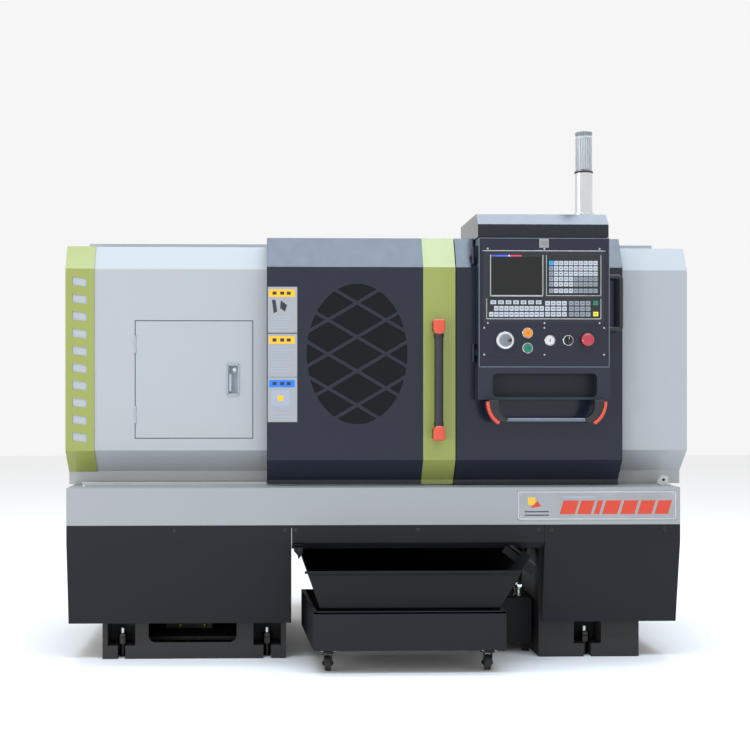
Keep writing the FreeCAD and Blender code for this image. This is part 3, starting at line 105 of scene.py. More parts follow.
class Finish:
    """One material, with short words for the nodes that a painted or machined surface needs."""

    def __init__(self, name, colour, roughness, metallic=0.0, **shader_values):
        self.material = bpy.data.materials.new(name)
        self.material.use_nodes = True
        self.tree = self.material.node_tree
        self.shader = self.tree.nodes["Principled BSDF"]
        self.colour = colour
        self.set("Base Color", (*colour, 1.0))
        self.set("Roughness", roughness)
        self.set("Metallic", metallic)
        for socket, value in shader_values.items():
            self.set(socket.replace("_", " "), value)
        coordinates = self.tree.nodes.new("ShaderNodeTexCoord")
        self.place = Value(self, coordinates.outputs["Object"])

    def fill(self, socket, value):
        if isinstance(value, Value):
            self.tree.links.new(value.socket, socket)
        else:
            socket.default_value = value

    def set(self, socket, value):
        self.fill(self.shader.inputs[socket], value)
        return self

    def node(self, kind, settings, inputs, out=0):
        made = self.tree.nodes.new(kind)
        for name, value in settings.items():
            if name == "stops":
                ramp = made.color_ramp
                while len(ramp.elements) < len(value):
                    ramp.elements.new(0.5)
                for element, (position, colour) in zip(ramp.elements, value):
                    element.position = position
                    element.color = (*colour, 1.0)
            else:
                setattr(made, name, value)
        for key, value in inputs.items():
            self.fill(made.inputs[key], value)
        return Value(self, made.outputs[out])

    def noise(self, scale, detail=2.0, place=None, roughness=0.5):
        inputs = {"Vector": place or self.place, "Scale": scale, "Detail": detail, "Roughness": roughness}
        return self.node("ShaderNodeTexNoise", {}, inputs)

    def stretched(self, x, y, z):
        return self.node("ShaderNodeMapping", {}, {"Vector": self.place, "Scale": (x, y, z)})

    def axis(self, index):
        return self.node("ShaderNodeSeparateXYZ", {}, {0: self.place}, out=index)

    def mix(self, factor, first, second):
        inputs = {0: factor, 6: first, 7: second}
        return self.node("ShaderNodeMix", {"data_type": "RGBA"}, inputs, out=2)

    def shade(self, amount, factor=1.0):
        """This finish's own colour, darkened or lightened, as four numbers."""
        return tuple(min(channel * amount, 1.0) for channel in self.colour) + (factor,)

    def bump(self, height, strength, distance, normal=None):
        inputs = {"Height": height, "Strength": strength, "Distance": distance}
        if normal is not None:
            inputs["Normal"] = normal
        return self.set("Normal", self.node("ShaderNodeBump", {}, inputs))

    def soft_edges(self, radius=1.2 * MM):
        """The normal of a surface whose sharp edges are eased by a small radius."""
        return self.node("ShaderNodeBevel", {"samples": 4}, {"Radius": radius})

    def edge_mask(self, eased):
        """1 along sharp edges and 0 on flats, from how far the eased normal leans."""
        flat = self.node("ShaderNodeNewGeometry", {}, {}, out="Normal")
        agreement = self.node("ShaderNodeVectorMath", {"operation": "DOT_PRODUCT"}, {0: eased, 1: flat},
                              out=1)
        return ((1.0 - agreement) * 6.0).clear()


def srgb(red, green, blue):
    """An sRGB colour from 0 to 255, turned into the linear numbers that a shader takes."""
    def linear(value):
        value = value / 255.0
        return value / 12.92 if value < 0.04045 else ((value + 0.055) / 1.055) ** 2.4
    return (linear(red), linear(green), linear(blue))


# %% [markdown]
# ## Powder-coated sheet metal
# Most of the machine is folded sheet with a baked powder coat. It could be a flat colour with a low
# roughness, but real powder coat has an orange-peel ripple a millimetre or two across and a slow drift
# of tone over a large panel. Its eased edges also get a painted highlight: a paler colour where a
# rounded fold would catch the light. All three come from noise on Object coordinates, so neighbouring
# panels carry on from each other.

# %% Paint finishes
def powder_coat(name, colour, roughness=0.38, peel=0.12, drift=0.06, grain=420.0, edge=1.25, gloss=0.4):
    finish = Finish(name, colour, roughness, Specular_IOR_Level=gloss)
    slow = finish.noise(2.2, 3.0)
    fine = finish.noise(38.0, 4.0)
    tone = (slow * 0.7 + fine * 0.3).clear()
    body = finish.mix(tone, finish.shade(1.0 - drift), finish.shade(1.0 + drift))
    eased = finish.soft_edges()
    # painted highlight: the eased edges are mixed towards a paler colour, broken up by noise
    painted_edge_highlight = finish.edge_mask(eased)
    broken_edge_highlight = (painted_edge_highlight * (0.35 + fine * 0.8)).clear()
    finish.set("Base Color", finish.mix(broken_edge_highlight, body, finish.shade(edge)))
    finish.set("Roughness", (roughness - 0.05) + fine * 0.08 + painted_edge_highlight * 0.08)
    ripple = finish.noise(grain, 2.0)
    finish.bump(ripple, peel, 0.4 * MM, eased)
    return finish.material


# the edge number says how much paler each paint's painted edge highlight is
pale_paint = powder_coat("pale_powder_coat", srgb(161, 164, 166), 0.42, 0.10, 0.02, edge=1.08)
slate_paint = powder_coat("slate_powder_coat", srgb(24, 29, 43), 0.20, 0.08, 0.05, edge=2.2, gloss=0.45)
lime_paint = powder_coat("lime_powder_coat", srgb(139, 146, 74), 0.26, 0.10, 0.03, edge=1.15, gloss=0.6)
tray_paint = powder_coat("tray_powder_coat", srgb(146, 148, 149), 0.45, 0.10, 0.02, edge=1.05)
skirt_paint = powder_coat("textured_skirt_coat", srgb(27, 28, 32), 0.62, 0.55, 0.06, 900.0, 1.8, 0.2)
stand_paint = powder_coat("pedestal_coat", srgb(44, 44, 45), 0.62, 0.50, 0.08, 300.0, 1.6, 0.25)
hopper_paint = powder_coat("hopper_coat", srgb(20, 21, 23), 0.55, 0.20, 0.08, edge=1.8, gloss=0.2)
pocket_paint = powder_coat("pocket_coat", srgb(38, 42, 52), 0.34, 0.10, 0.05, edge=1.7, gloss=0.3)
header_paint = powder_coat("header_coat", srgb(16, 22, 32), 0.20, 0.08, 0.05, edge=2.2, gloss=0.45)
motor_paint = powder_coat("motor_enamel", srgb(58, 54, 48), 0.42, 0.20, 0.08, edge=1.9, gloss=0.3)
print("paint finishes made")

# %% [markdown]
# ## Metals
# Bare metal shows how it was cut. A turned part has fine rings round its axis, a ground or milled
# one has straight lines, and a casting is rough all over. The rings and lines are noise stretched
# hard along one direction, which is cheaper and sharper than an image of scratches.

# %% Metal finishes
def machined(name, colour, lines, roughness=0.32, depth=0.25):
    """Steel with straight tool lines: the stretch makes noise long one way and fine the other."""
    finish = Finish(name, colour, roughness, metallic=1.0)
    grain = finish.noise(1.0, 3.0, finish.stretched(*lines))
    cloud = finish.noise(14.0, 3.0)
    body = finish.mix(cloud, finish.shade(0.86), finish.shade(1.08))
    eased = finish.soft_edges(0.8 * MM)
    finish.set("Base Color", body)
    finish.set("Roughness", roughness - 0.08 + grain * 0.16 + cloud * 0.06)
    finish.bump(grain, depth, 0.15 * MM, eased)
    return finish.material


def casting(name, colour, roughness=0.5):
    """Painted cast iron: a filled and sprayed sand surface, with lumps and pin holes under the paint."""
    finish = Finish(name, colour, roughness)
    lumps = finish.noise(60.0, 5.0)
    sand = finish.noise(420.0, 3.0)
    body = finish.mix(lumps, finish.shade(0.88), finish.shade(1.1))
    eased = finish.soft_edges(2.5 * MM)
    # painted highlight: the eased edges, broken up by the lumps, are mixed towards a paler colour
    painted_edge_highlight = finish.edge_mask(eased) * lumps * 1.6
    finish.set("Base Color", finish.mix(painted_edge_highlight.clear(), body, finish.shade(1.5)))
    finish.set("Roughness", roughness - 0.05 + sand * 0.12)
    finish.bump(lumps * 0.8 + sand * 0.35, 0.5, 0.8 * MM, eased)
    return finish.material


STEEL = srgb(200, 200, 204)
turned_steel = machined("turned_steel", STEEL, (1900.0, 6.0, 6.0), 0.28)
ground_steel = machined("ground_steel", STEEL, (8.0, 900.0, 900.0), 0.30)
brushed_plate = machined("brushed_plate", srgb(168, 169, 171), (20.0, 900.0, 1500.0), 0.34, 0.2)
zinc_plate = machined("zinc_plate", srgb(196, 198, 196), (120.0, 160.0, 140.0), 0.36, 0.12)
chrome = machined("chrome_plate", srgb(222, 224, 228), (60.0, 60.0, 60.0), 0.10, 0.04)
satin_aluminium = machined("satin_aluminium", srgb(208, 210, 214), (40.0, 1400.0, 40.0), 0.32, 0.15)
brass = machined("brass_fitting", srgb(200, 160, 80), (80.0, 300.0, 80.0), 0.28, 0.15)
dark_steel = machined("blackened_steel", srgb(64, 62, 62), (220.0, 220.0, 220.0), 0.42, 0.3)
grip_metal = machined("grip_metal", srgb(112, 118, 130), (60.0, 60.0, 60.0), 0.30, 0.1)
machine_casting = casting("machine_casting", srgb(150, 158, 162))
print("metal finishes made")

# %% [markdown]
# ## Plastics, rubber and glass
# Moulded plastic is never mirror-smooth: the mould leaves a fine grain and the part shrinks a little,
# so its reflections wobble. Rubber is rougher.

# %% Plastic, rubber and glass finishes
def moulded(name, colour, roughness=0.4, grain=1100.0, depth=0.15, **shader_values):
    finish = Finish(name, colour, roughness, **shader_values)
    sink = finish.noise(22.0, 2.0)
    texture = finish.noise(grain, 2.0)
    finish.set("Base Color", finish.mix(sink, finish.shade(0.94), finish.shade(1.06)))
    finish.set("Roughness", roughness - 0.04 + texture * 0.08 + sink * 0.04)
    finish.bump(texture * 0.5 + sink, depth, 0.25 * MM, finish.soft_edges(0.5 * MM))
    return finish.material


def glazed(name, colour, roughness, transmission, **shader_values):
    """Clear or tinted sheet, faintly wavy, with a haze of fine wiping marks."""
    finish = Finish(name, colour, roughness, Transmission_Weight=transmission, IOR=1.5, **shader_values)
    wave = finish.noise(9.0, 2.0)
    wipe = finish.noise(1.0, 4.0, finish.stretched(30.0, 30.0, 700.0))
    finish.set("Roughness", roughness + wipe * 0.05)
    finish.bump(wave, 0.06, 0.5 * MM)
    return finish.material


black_plastic = moulded("black_moulding", srgb(26, 26, 28), 0.42)
pale_pull = moulded("pale_pull_moulding", srgb(150, 156, 162), 0.42)
grip_rubber = moulded("grip_rubber", srgb(34, 34, 36), 0.55, 700.0, 0.5)
orange_plastic = moulded("orange_cap_plastic", srgb(200, 70, 46), 0.32, Coat_Weight=0.3)
red_plastic = moulded("red_button_plastic", srgb(166, 44, 58), 0.34, Coat_Weight=0.3)
green_plastic = moulded("green_button_plastic", srgb(18, 112, 86), 0.32, Coat_Weight=0.3)
yellow_plastic = moulded("yellow_button_plastic", srgb(214, 132, 24), 0.32, Coat_Weight=0.3)
grey_plastic = moulded("grey_moulding", srgb(120, 122, 126), 0.42)
white_plastic = moulded("white_moulding", srgb(226, 226, 222), 0.4)
nylon = moulded("slide_nylon", srgb(222, 218, 206), 0.45, Subsurface_Weight=0.05)
tyre_rubber = moulded("tyre_rubber", srgb(30, 30, 31), 0.7, 500.0, 0.7)
belt_rubber = moulded("belt_rubber", srgb(26, 26, 27), 0.75, 300.0, 0.8)
hose_rubber = moulded("hose_rubber", srgb(32, 33, 35), 0.5, 260.0, 0.5)
screen_bezel = moulded("screen_bezel_plastic", srgb(28, 31, 34), 0.42)
window_glass = glazed("dark_window_glass", srgb(12, 15, 19), 0.16, 0.0, Specular_IOR_Level=0.2)
lens_plastic = glazed("clear_lens_plastic", srgb(238, 242, 246), 0.10, 0.85, Coat_Weight=0.3)
reservoir = moulded("reservoir_plastic", srgb(226, 231, 234), 0.4, Subsurface_Weight=0.2)
display_glass = glazed("display_glass", srgb(8, 9, 10), 0.14, 0.0)
pale_key = moulded("pale_key_film", srgb(176, 180, 188), 0.42, 500.0)
grey_key = moulded("grey_key_film", srgb(128, 133, 142), 0.42, 500.0)
blue_key = moulded("blue_key_film", srgb(40, 150, 210), 0.42, 500.0)
yellow_key = moulded("yellow_key_film", srgb(226, 214, 50), 0.42, 500.0)
green_lens = moulded("green_lamp_lens", srgb(10, 96, 74), 0.2, Coat_Weight=0.5)
yellow_lens = moulded("yellow_lamp_lens", srgb(206, 118, 14), 0.2, Coat_Weight=0.5)
print("plastic and glass finishes made")

# %% [markdown]
# ## Printed fields
# The machine's printed places hold plain fields of colour and grey bars. Ink lies on metal or film,
# so it has a slight tooth and is a little uneven in strength.

# %% Printed fields
def printed(name, colour, roughness=0.5):
    finish = Finish(name, colour, roughness)
    screen = finish.noise(900.0, 2.0)
    patch = finish.noise(30.0, 3.0)
    finish.set("Base Color", finish.mix(patch * 0.7 + screen * 0.3, finish.shade(0.92), finish.shade(1.06)))
    finish.set("Roughness", roughness - 0.05 + screen * 0.1)
    finish.bump(screen, 0.08, 0.1 * MM)
    return finish.material


legend_print = printed("legend_print", srgb(70, 74, 82))
violet_print = printed("violet_print", srgb(84, 70, 180))
blue_print = printed("blue_print", srgb(70, 96, 214))
pale_print = printed("pale_print", srgb(226, 228, 234))
red_print = printed("red_print", srgb(196, 60, 84))
signal_red = printed("signal_red_print", srgb(196, 60, 36))
amber_print = printed("amber_print", srgb(240, 176, 24))
sky_print = printed("sky_print", srgb(36, 112, 216))
dark_print = printed("dark_print", srgb(38, 42, 50))
grey_print = printed("grey_print", srgb(150, 158, 172))
plate_film = printed("plate_film", srgb(150, 151, 154), 0.4)
pale_metal = machined("pale_ring_metal", srgb(232, 234, 236), (300.0, 300.0, 300.0), 0.30, 0.1)
bezel_paint = powder_coat("bezel_coat", srgb(34, 40, 44), 0.40, 0.10, 0.03, edge=1.5)
# painted highlight: the pale paint of the strips along the console's edges
highlight_strip_paint = powder_coat("highlight_strip_coat", srgb(112, 118, 130), 0.34, 0.06, 0.03, edge=1.3)
print("printed fields made")

# %% [markdown]
# ## Finishes for the frame's own nodes
# A node whose shape is right keeps its mesh and only gets a better material. One table says which.

# %% Give every node its finish
node_finishes = {
    pale_paint: ["headstock_cover", "tailstock_cover", "rear_cover", "access_door",
                 "electrical_cabinet", "cabinet_door"],
    tray_paint: ["chip_tray"],
    slate_paint: ["door_panel", "front_panel", "console_housing", "console_face"],
    pocket_paint: ["console_pocket"],
    header_paint: ["header_box"],
    lime_paint: ["corner_trim", "door_edge_strip"],
    skirt_paint: ["skirt_panels", "cart_body"],
    stand_paint: ["left_pedestal", "right_pedestal"],
    hopper_paint: ["chip_hopper", "coolant_tank"],
    machine_casting: ["bed", "headstock", "saddle", "tailstock_body"],
    motor_paint: ["main_motor"],
    turned_steel: ["spindle", "chuck", "motor_pulley", "quill", "z_screw", "tailstock_handwheel"],
    ground_steel: ["cross_slide", "turret_head", "chuck_jaws", "door_rails"],
    dark_steel: ["foundation_bolts", "caster_fork_left", "caster_fork_right"],
    chrome: ["lamp_tube", "key_switch"],
    satin_aluminium: ["handwheel"],
    tyre_rubber: ["caster_wheel_left", "caster_wheel_right", "rear_wheels"],
    belt_rubber: ["drive_belts"],
    pale_pull: ["access_door_pull"],
    black_plastic: ["z_servo_motor", "console_handles", "door_handle",
                    "selector_knob", "keypads"],
    nylon: ["door_slides"],
    screen_bezel: ["screen"],
    window_glass: ["door_glass"],
    lens_plastic: ["lamp_lens"],
    reservoir: ["lubricator"],
    green_plastic: ["green_button"],
    yellow_plastic: ["yellow_button"],
    red_plastic: ["emergency_stop"],
}
for material, names in node_finishes.items():
    for name in names:
        mesh = nodes[name].data
        mesh.materials.clear()
        mesh.materials.append(material)
unfinished = set(nodes) - {name for names in node_finishes.values() for name in names}
print("nodes without a finish:", sorted(unfinished))

# %% [markdown]
# ## A workbench for small pieces
# The fine pieces are modelled in millimetres in the machine's own frame, because that is how they are
# drawn. Each shape starts from an operator (a cube that is bevelled, a profile that is spun, an
# outline that is extruded, a line that is thickened) and is merged into its piece, which becomes one
# object at the origin that rides on one body of the machine.

# %% The workbench
SHARP = math.radians(20.0)
DIRECTIONS = {"x": Vector((1, 0, 0)), "-x": Vector((-1, 0, 0)), "y": Vector((0, 1, 0)),
              "-y": Vector((0, -1, 0)), "z": Vector((0, 0, 1)), "-z": Vector((0, 0, -1))}


def span(node):
    """The lowest and highest corner of a node of the frame, in millimetres."""
    low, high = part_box(node)
    return Vector(low) / MM, Vector(high) / MM


class Piece:
    """One object made of several small shapes."""

    def __init__(self, name, body, slot):
        self.name = name
        self.body = body
        self.slot = slot
        self.whole = bmesh.new()
        self.finishes = []

    def add(self, shape, finish, turn=None):
        """Merges one shape in: shallow edges are shaded smooth, the others stay crisp."""
        if finish not in self.finishes:
            self.finishes.append(finish)
        if turn is not None:
            bmesh.ops.transform(shape, matrix=turn, verts=shape.verts)
        for face in shape.faces:
            face.material_index = self.finishes.index(finish)
            face.smooth = True
        for edge in shape.edges:
            edge.smooth = edge.calc_face_angle(0.0) < SHARP
        mesh = bpy.data.meshes.new("shape")
        shape.to_mesh(mesh)
        shape.free()
        self.whole.from_mesh(mesh)
        bpy.data.meshes.remove(mesh)
        return self

    def block(self, low, high, finish, ease=0.5, segments=2, turn=None):
        """A box between two corners, with eased edges."""
        low, high = Vector(low), Vector(high)
        shape = bmesh.new()
        bmesh.ops.create_cube(shape, size=1.0)
        bmesh.ops.scale(shape, vec=high - low, verts=shape.verts)
        bmesh.ops.translate(shape, vec=(low + high) / 2.0, verts=shape.verts)
        if ease:
            bmesh.ops.bevel(shape, geom=shape.edges[:], offset=ease, segments=segments,
                            profile=0.5, affect="EDGES", material=-1, clamp_overlap=True)
        return self.add(shape, finish, turn)

    def turned(self, profile, centre, axis, finish, steps=32, turn=None):
        """A profile of (radius, reach along the axis) spun once round."""
        shape = bmesh.new()
        corners = [shape.verts.new((radius, 0.0, reach)) for radius, reach in profile]
        edges = [shape.edges.new(pair) for pair in zip(corners, corners[1:])]
        bmesh.ops.spin(shape, geom=corners + edges, axis=(0, 0, 1), cent=(0, 0, 0),
                       angle=math.tau, steps=steps, use_merge=True)
        bmesh.ops.remove_doubles(shape, verts=shape.verts, dist=0.001)
        bmesh.ops.recalc_face_normals(shape, faces=shape.faces)
        aim = DIRECTIONS[axis].to_track_quat("Z", "Y").to_matrix().to_4x4()
        bmesh.ops.transform(shape, matrix=Matrix.Translation(centre) @ aim, verts=shape.verts)
        return self.add(shape, finish, turn)

    def block_at(self, place, low, high, *options):
        """A block whose two corners are measured from a place."""
        return self.block(place + Vector(low), place + Vector(high), *options)

    def rod(self, radius, length, *options):
        """A plain round bar, square at both ends."""
        return self.turned([(0.0, 0.0), (radius, 0.0), (radius, length), (0.0, length)], *options)

    def plate(self, outline, axis, low, high, finish, ease=0.0, segments=2, turn=None):
        """A flat outline given a thickness along x, y or z."""
        place = {"x": lambda a, b: (low, a, b), "y": lambda a, b: (a, low, b), "z": lambda a,
                 b: (a, b, low)}[axis]
        shape = bmesh.new()
        face = shape.faces.new([shape.verts.new(place(a, b)) for a, b in outline])
        raised = bmesh.ops.extrude_face_region(shape, geom=[face])["geom"]
        corners = [item for item in raised if isinstance(item, bmesh.types.BMVert)]
        bmesh.ops.translate(shape, vec=DIRECTIONS[axis] * (high - low), verts=corners)
        bmesh.ops.recalc_face_normals(shape, faces=shape.faces)
        if ease:
            bmesh.ops.bevel(shape, geom=shape.edges[:], offset=ease, segments=segments,
                            profile=0.5, affect="EDGES", material=-1, clamp_overlap=True)
        return self.add(shape, finish, turn)

    def bar(self, points, radius, finish, roundness=4):
        """A round bar or hose along a smooth line that its route's points pull into shape."""
        curve = bpy.data.curves.new("route", "CURVE")
        curve.dimensions = "3D"
        curve.bevel_depth = radius
        curve.bevel_resolution = roundness
        curve.use_fill_caps = True
        line = curve.splines.new("NURBS")
        line.points.add(len(points) - 1)
        for spot, place in zip(line.points, points):
            spot.co = (*place, 1.0)
        line.order_u = 3
        line.use_endpoint_u = True
        line.resolution_u = 6
        holder = bpy.data.objects.new("route", curve)
        mesh = bpy.data.meshes.new_from_object(holder)
        shape = bmesh.new()
        shape.from_mesh(mesh)
        bpy.data.meshes.remove(mesh)
        bpy.data.objects.remove(holder)
        bpy.data.curves.remove(curve)
        bmesh.ops.remove_doubles(shape, verts=shape.verts, dist=0.01)
        bmesh.ops.recalc_face_normals(shape, faces=shape.faces)
        return self.add(shape, finish)

    def screw(self, x, y, z, radius, finish, axis="-y"):
        """A domed screw head with a socket in it."""
        profile = [(0.0, 0.0), (1.0, 0.0), (1.0, 0.25), (0.78, 0.62), (0.46, 0.74), (0.42, 0.3), (0.0, 0.3)]
        return self.turned([(radius * a, radius * b) for a, b in profile], (x, y, z), axis, finish, 16)

    def done(self, *replaced):
        """Scales the piece to metres, puts it on its body and lets it stand for any replaced nodes."""
        bmesh.ops.scale(self.whole, vec=(MM, MM, MM), verts=self.whole.verts)
        mesh = bpy.data.meshes.new(self.name)
        self.whole.to_mesh(mesh)
        for finish in self.finishes:
            mesh.materials.append(finish)
        piece = bpy.data.objects.new(self.name, mesh)
        bpy.context.scene.collection.objects.link(piece)
        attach(piece, self.body)
        if replaced:
            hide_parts(*replaced)
        print(self.name, len(mesh.polygons), "faces")
        self.whole.free()
        return piece


def about(centre, axis, degrees):
    """A turn about a line through a centre."""
    place = Matrix.Translation(centre)
    return place @ Matrix.Rotation(math.radians(degrees), 4, DIRECTIONS[axis]) @ place.inverted()


# %% [markdown]
# ## The console's panels
# The operator's console is a folded box with a drilled front plate. On it sit a flange for the
# display and the two keypads, and a smaller plate for the hand controls. Both are screwed on with
# bright screws. Pale strips along the box's edges are a painted highlight, where the folds would
# catch the light. Plates a millimetre or two thick are quickest as eased boxes.

# %% Console frame
face_low, face_high = span("console_face")
front = face_low.y


def on_face(across, up, out=0.0):
    """A point on the console's front plate, from its lower left corner."""
    return Vector((face_low.x + across, front - out, face_low.z + up))


def on_plate(piece, left, bottom, right, top, back, out, finish, ease=0.4):
    """A thin plate on the console's front, between two heights above the plate."""
    return piece.block(on_face(left, bottom, out), on_face(right, top, back), finish, ease)


console_width = face_high.x - face_low.x
console_rise = face_high.z - face_low.z
frame_plates = Piece("console_frame", "console", "slate_paint")
on_plate(frame_plates, 9.0, 140.0, console_width - 11.0, 406.0, 0.0, 1.2, slate_paint)
on_plate(frame_plates, 17.0, 151.0, console_width - 20.0, 392.0, 1.2, 2.2, bezel_paint)
on_plate(frame_plates, 10.0, 36.0, console_width - 11.0, 138.0, 0.0, 1.4, slate_paint)
on_plate(frame_plates, 13.0, 389.0, console_width - 15.0, 391.5, 1.2, 3.2, satin_aluminium, 0.3)
# painted highlight: pale strips along the console's sides, top and bottom
for left in (0.0, console_width - 2.0):
    on_plate(frame_plates, left, 0.0, left + 2.0, console_rise, 0.0, 1.0, highlight_strip_paint, 0.2)
for bottom in (0.0, console_rise - 2.0):
    on_plate(frame_plates, 0.0, bottom, console_width, bottom + 2.0, 0.0, 1.0, highlight_strip_paint, 0.2)
middle = console_width / 2.0
for up in (397.0, 148.0):
    for across in (30.0, middle, console_width - 34.0):
        frame_plates.screw(*on_face(across, up, 1.2), 3.4, zinc_plate)
for up in (132.0, 42.0):
    for across in (18.0, middle, console_width - 19.0):
        frame_plates.screw(*on_face(across, up, 1.4), 3.4, zinc_plate)
on_plate(frame_plates, middle - 17.0, 401.0, middle + 15.0, 431.0, 0.0, 1.6, brushed_plate)
on_plate(frame_plates, middle - 11.0, 408.0, middle + 9.0, 424.0, 1.6, 2.0, grey_plastic, 0.2)
frame_plates.done()

# %% [markdown]
# ## Display and keypads
# The display is a dark pane in a thin bright frame, under a strip of plain colour. The keypads are
# sealed membranes with raised keys. Rows of identical keys are a loop: each one is a low block with
# eased edges and a short bar where its legend would be, so the pads read as keys without lettering.

# %% Display
screen_low, screen_high = span("screen")
display = Piece("display_pane", "console", "display")
border = 7.0
rim = screen_low.y
pane_left, pane_right = screen_low.x + border, screen_high.x - border
pane_low, pane_high = screen_low.z + border, screen_high.z - border
display.block((pane_left, rim + 2.0, pane_low), (pane_right, rim + 3.4, pane_high), display_glass, 0.2)
for low, high in (
    ((screen_low.x, screen_low.z), (screen_low.x + 2.6, screen_high.z)),
    ((screen_high.x - 2.6, screen_low.z), (screen_high.x, screen_high.z)),
    ((screen_low.x, screen_low.z), (screen_high.x, screen_low.z + 4.0)),
):
    display.block((low[0], rim - 1.0, low[1]), (high[0], rim, high[1]), satin_aluminium, 0.3)
strip = [(violet_print, 4.0, 22.0), (blue_print, 22.0, 62.0), (pale_print, 62.0, 66.0),
         (red_print, 66.0, 106.0)]
for print_ink, start, end in strip:
    display.block((screen_low.x + start, rim - 0.5, screen_high.z - 5.5),
                  (screen_low.x + end, rim, screen_high.z), print_ink, 0.1)
display.done()


# %% Keypads
def key(piece, left, bottom, width, height, finish, out, mark=legend_print):
    """One membrane key with a short bar for a legend."""
    piece.block((left, out - 1.4, bottom), (left + width, out, bottom + height), finish, 0.5, 1)
    if mark is not None:
        piece.block((left + width * 0.22, out - 1.6, bottom + height * 0.42),
                    (left + width * 0.72, out - 1.3, bottom + height * 0.6), mark, 0.0)


pads_low, pads_high = span("keypads")
pad_front = pads_low.y
data_left = screen_high.x + 10.0
data_right = pads_high.x
data_low = screen_low.z + 2.0
keys = Piece("console_keys", "console", "keypad_film")
for low, high in (
    ((data_left, data_low), (data_left + 2.0, pads_high.z)),
    ((data_right - 2.0, data_low), (data_right, pads_high.z)),
    ((data_left, data_low), (data_right, data_low + 2.0)),
    ((pads_low.x, pads_low.z), (pads_low.x + 2.0, pads_low.z + 69.0)),
    ((data_right - 2.0, pads_low.z), (data_right, pads_low.z + 69.0)),
    ((pads_low.x, pads_low.z), (data_right, pads_low.z + 2.5)),
):
    keys.block((low[0], pad_front - 0.8, low[1]), (high[0], pad_front, high[1]), satin_aluminium, 0.3)
columns, rows = 10, 6
pitch_x, pitch_z = 16.6, 17.8
for column in range(columns):
    for row in range(rows):
        drop = 4.0 if row == rows - 1 else 0.0
        left = data_left + 10.0 + column * pitch_x
        bottom = pads_high.z - 34.0 - row * pitch_z - drop
        finish = grey_key if (row > 0 and column == 0) or (row > 2 and column > 4) else pale_key
        if row == 0 and column == 0:
            finish = blue_key
        key(keys, left, bottom, pitch_x - 2.2, pitch_z - 3.2, finish, pad_front)
for slot_number in range(7):
    left = pads_low.x + 14.0 + slot_number * 25.4
    key(keys, left, pads_low.z + 50.0, 19.0, 13.0, pale_key, pad_front)
    keys.block((left + 6.0, pad_front - 1.7, pads_low.z + 53.0),
               (left + 13.0, pad_front - 1.3, pads_low.z + 60.0), grey_key, 0.0)
for row, first in ((0, 0), (1, 1)):
    for column in range(first, 11):
        left = pads_low.x + 9.0 + column * 17.0
        key(keys, left, pads_low.z + 8.0 + row * 20.0, 14.6, 16.0, pale_key, pad_front)
for group_left, finish in ((198.0, pale_key), (278.0, grey_key)):
    for column in range(4):
        for row in range(3):
            left = pads_low.x + group_left + column * 18.9
            key(keys, left, pads_low.z + 9.0 + row * 18.5, 16.0, 15.0, finish, pad_front)
key(keys, pads_high.x - 27.0, pads_low.z + 47.0, 17.0, 15.0, green_plastic, pad_front)
key(keys, pads_high.x - 27.0, pads_low.z + 10.0, 17.0, 15.0, yellow_key, pad_front)
keys.done()

# %% [markdown]
# ## Hand controls
# Every control is a turned part: a ring that clamps it to the plate, and a cap that moves. A short
# profile spun round the axis gives each its true steps and chamfers. The rings stay on the console,
# and each cap rides on its own body so that it can be pressed or turned.

# %% Control rings
def control_place(node):
    """Where a control's axis meets the console's front plate."""
    low, high = span(node)
    return Vector(((low.x + high.x) / 2.0, front, (low.z + high.z) / 2.0))


ring_profile = [(15.4, 0.0), (18.0, 0.0), (18.0, 3.2), (16.6, 4.6), (15.4, 4.6), (15.4, 0.0)]
rings = Piece("control_rings", "console", "aluminium")
plate_out = Vector((0.0, -1.4, 0.0))
for name in ("yellow_button", "green_button", "key_switch", "selector_knob"):
    rings.turned(ring_profile, control_place(name) + plate_out, "-y", chrome, 40)
stop_ring = [(21.6, 0.0), (25.0, 0.0), (25.0, 1.2), (21.6, 1.8), (21.6, 0.0)]
rings.turned(stop_ring, control_place("emergency_stop") + plate_out, "-y", dark_steel, 48)
stop_sleeve = [(11.2, 0.0), (12.4, 0.0), (12.4, 2.0), (11.2, 2.0), (11.2, 0.0)]
rings.turned(stop_sleeve, control_place("emergency_stop") + plate_out, "-y", dark_steel, 48)
rings.done()

# %% Handwheel
wheel_place = control_place("handwheel")
wheel = Piece("handwheel_dial", "handwheel", "aluminium")
wheel.turned([(0.0, 1.6), (27.0, 1.6), (30.3, 3.6), (30.3, 10.0), (27.4, 14.0), (22.0, 15.0), (20.6, 12.4),
              (0.0, 12.4)], wheel_place, "-y", pale_metal, 96)
for tooth in range(60):
    wheel.block_at(wheel_place, (29.8, -9.6, -0.5), (30.6, -4.0, 0.5), pale_metal, 0.2, 1,
                about(wheel_place, "y", tooth * 6.0))
wheel.turned([(0.0, 12.0), (19.6, 12.0), (19.6, 14.6), (18.4, 15.6), (0.0, 16.2)], wheel_place, "-y",
             grey_plastic, 64)
wheel.block_at(wheel_place, (-3.2, -18.6, -15.0), (3.2, -15.0, 15.0), grey_plastic, 1.2)
wheel.turned([(0.0, 15.6), (4.6, 15.6), (4.6, 28.0), (3.4, 29.6), (0.0, 29.8)],
             wheel_place + Vector((13.0, 0.0, 0.0)), "-y", black_plastic, 24)
wheel.done("handwheel")


# %% Buttons and switches
def button_cap(name, piece_name, finish, dark):
    """A push button: a domed cap with a recessed lamp lens in its middle."""
    cap = Piece(piece_name, name, finish_slots[name])
    spot = control_place(name)
    cap.turned([(0.0, 5.6), (14.8, 5.6), (14.8, 9.6), (13.6, 11.2), (6.6, 11.4),
                (6.0, 10.6), (0.0, 10.6)], spot, "-y", finish, 48)
    cap.turned([(0.0, 10.4), (5.6, 10.4), (5.0, 11.3), (0.0, 11.6)], spot, "-y", dark, 32)
    return cap.done(name)


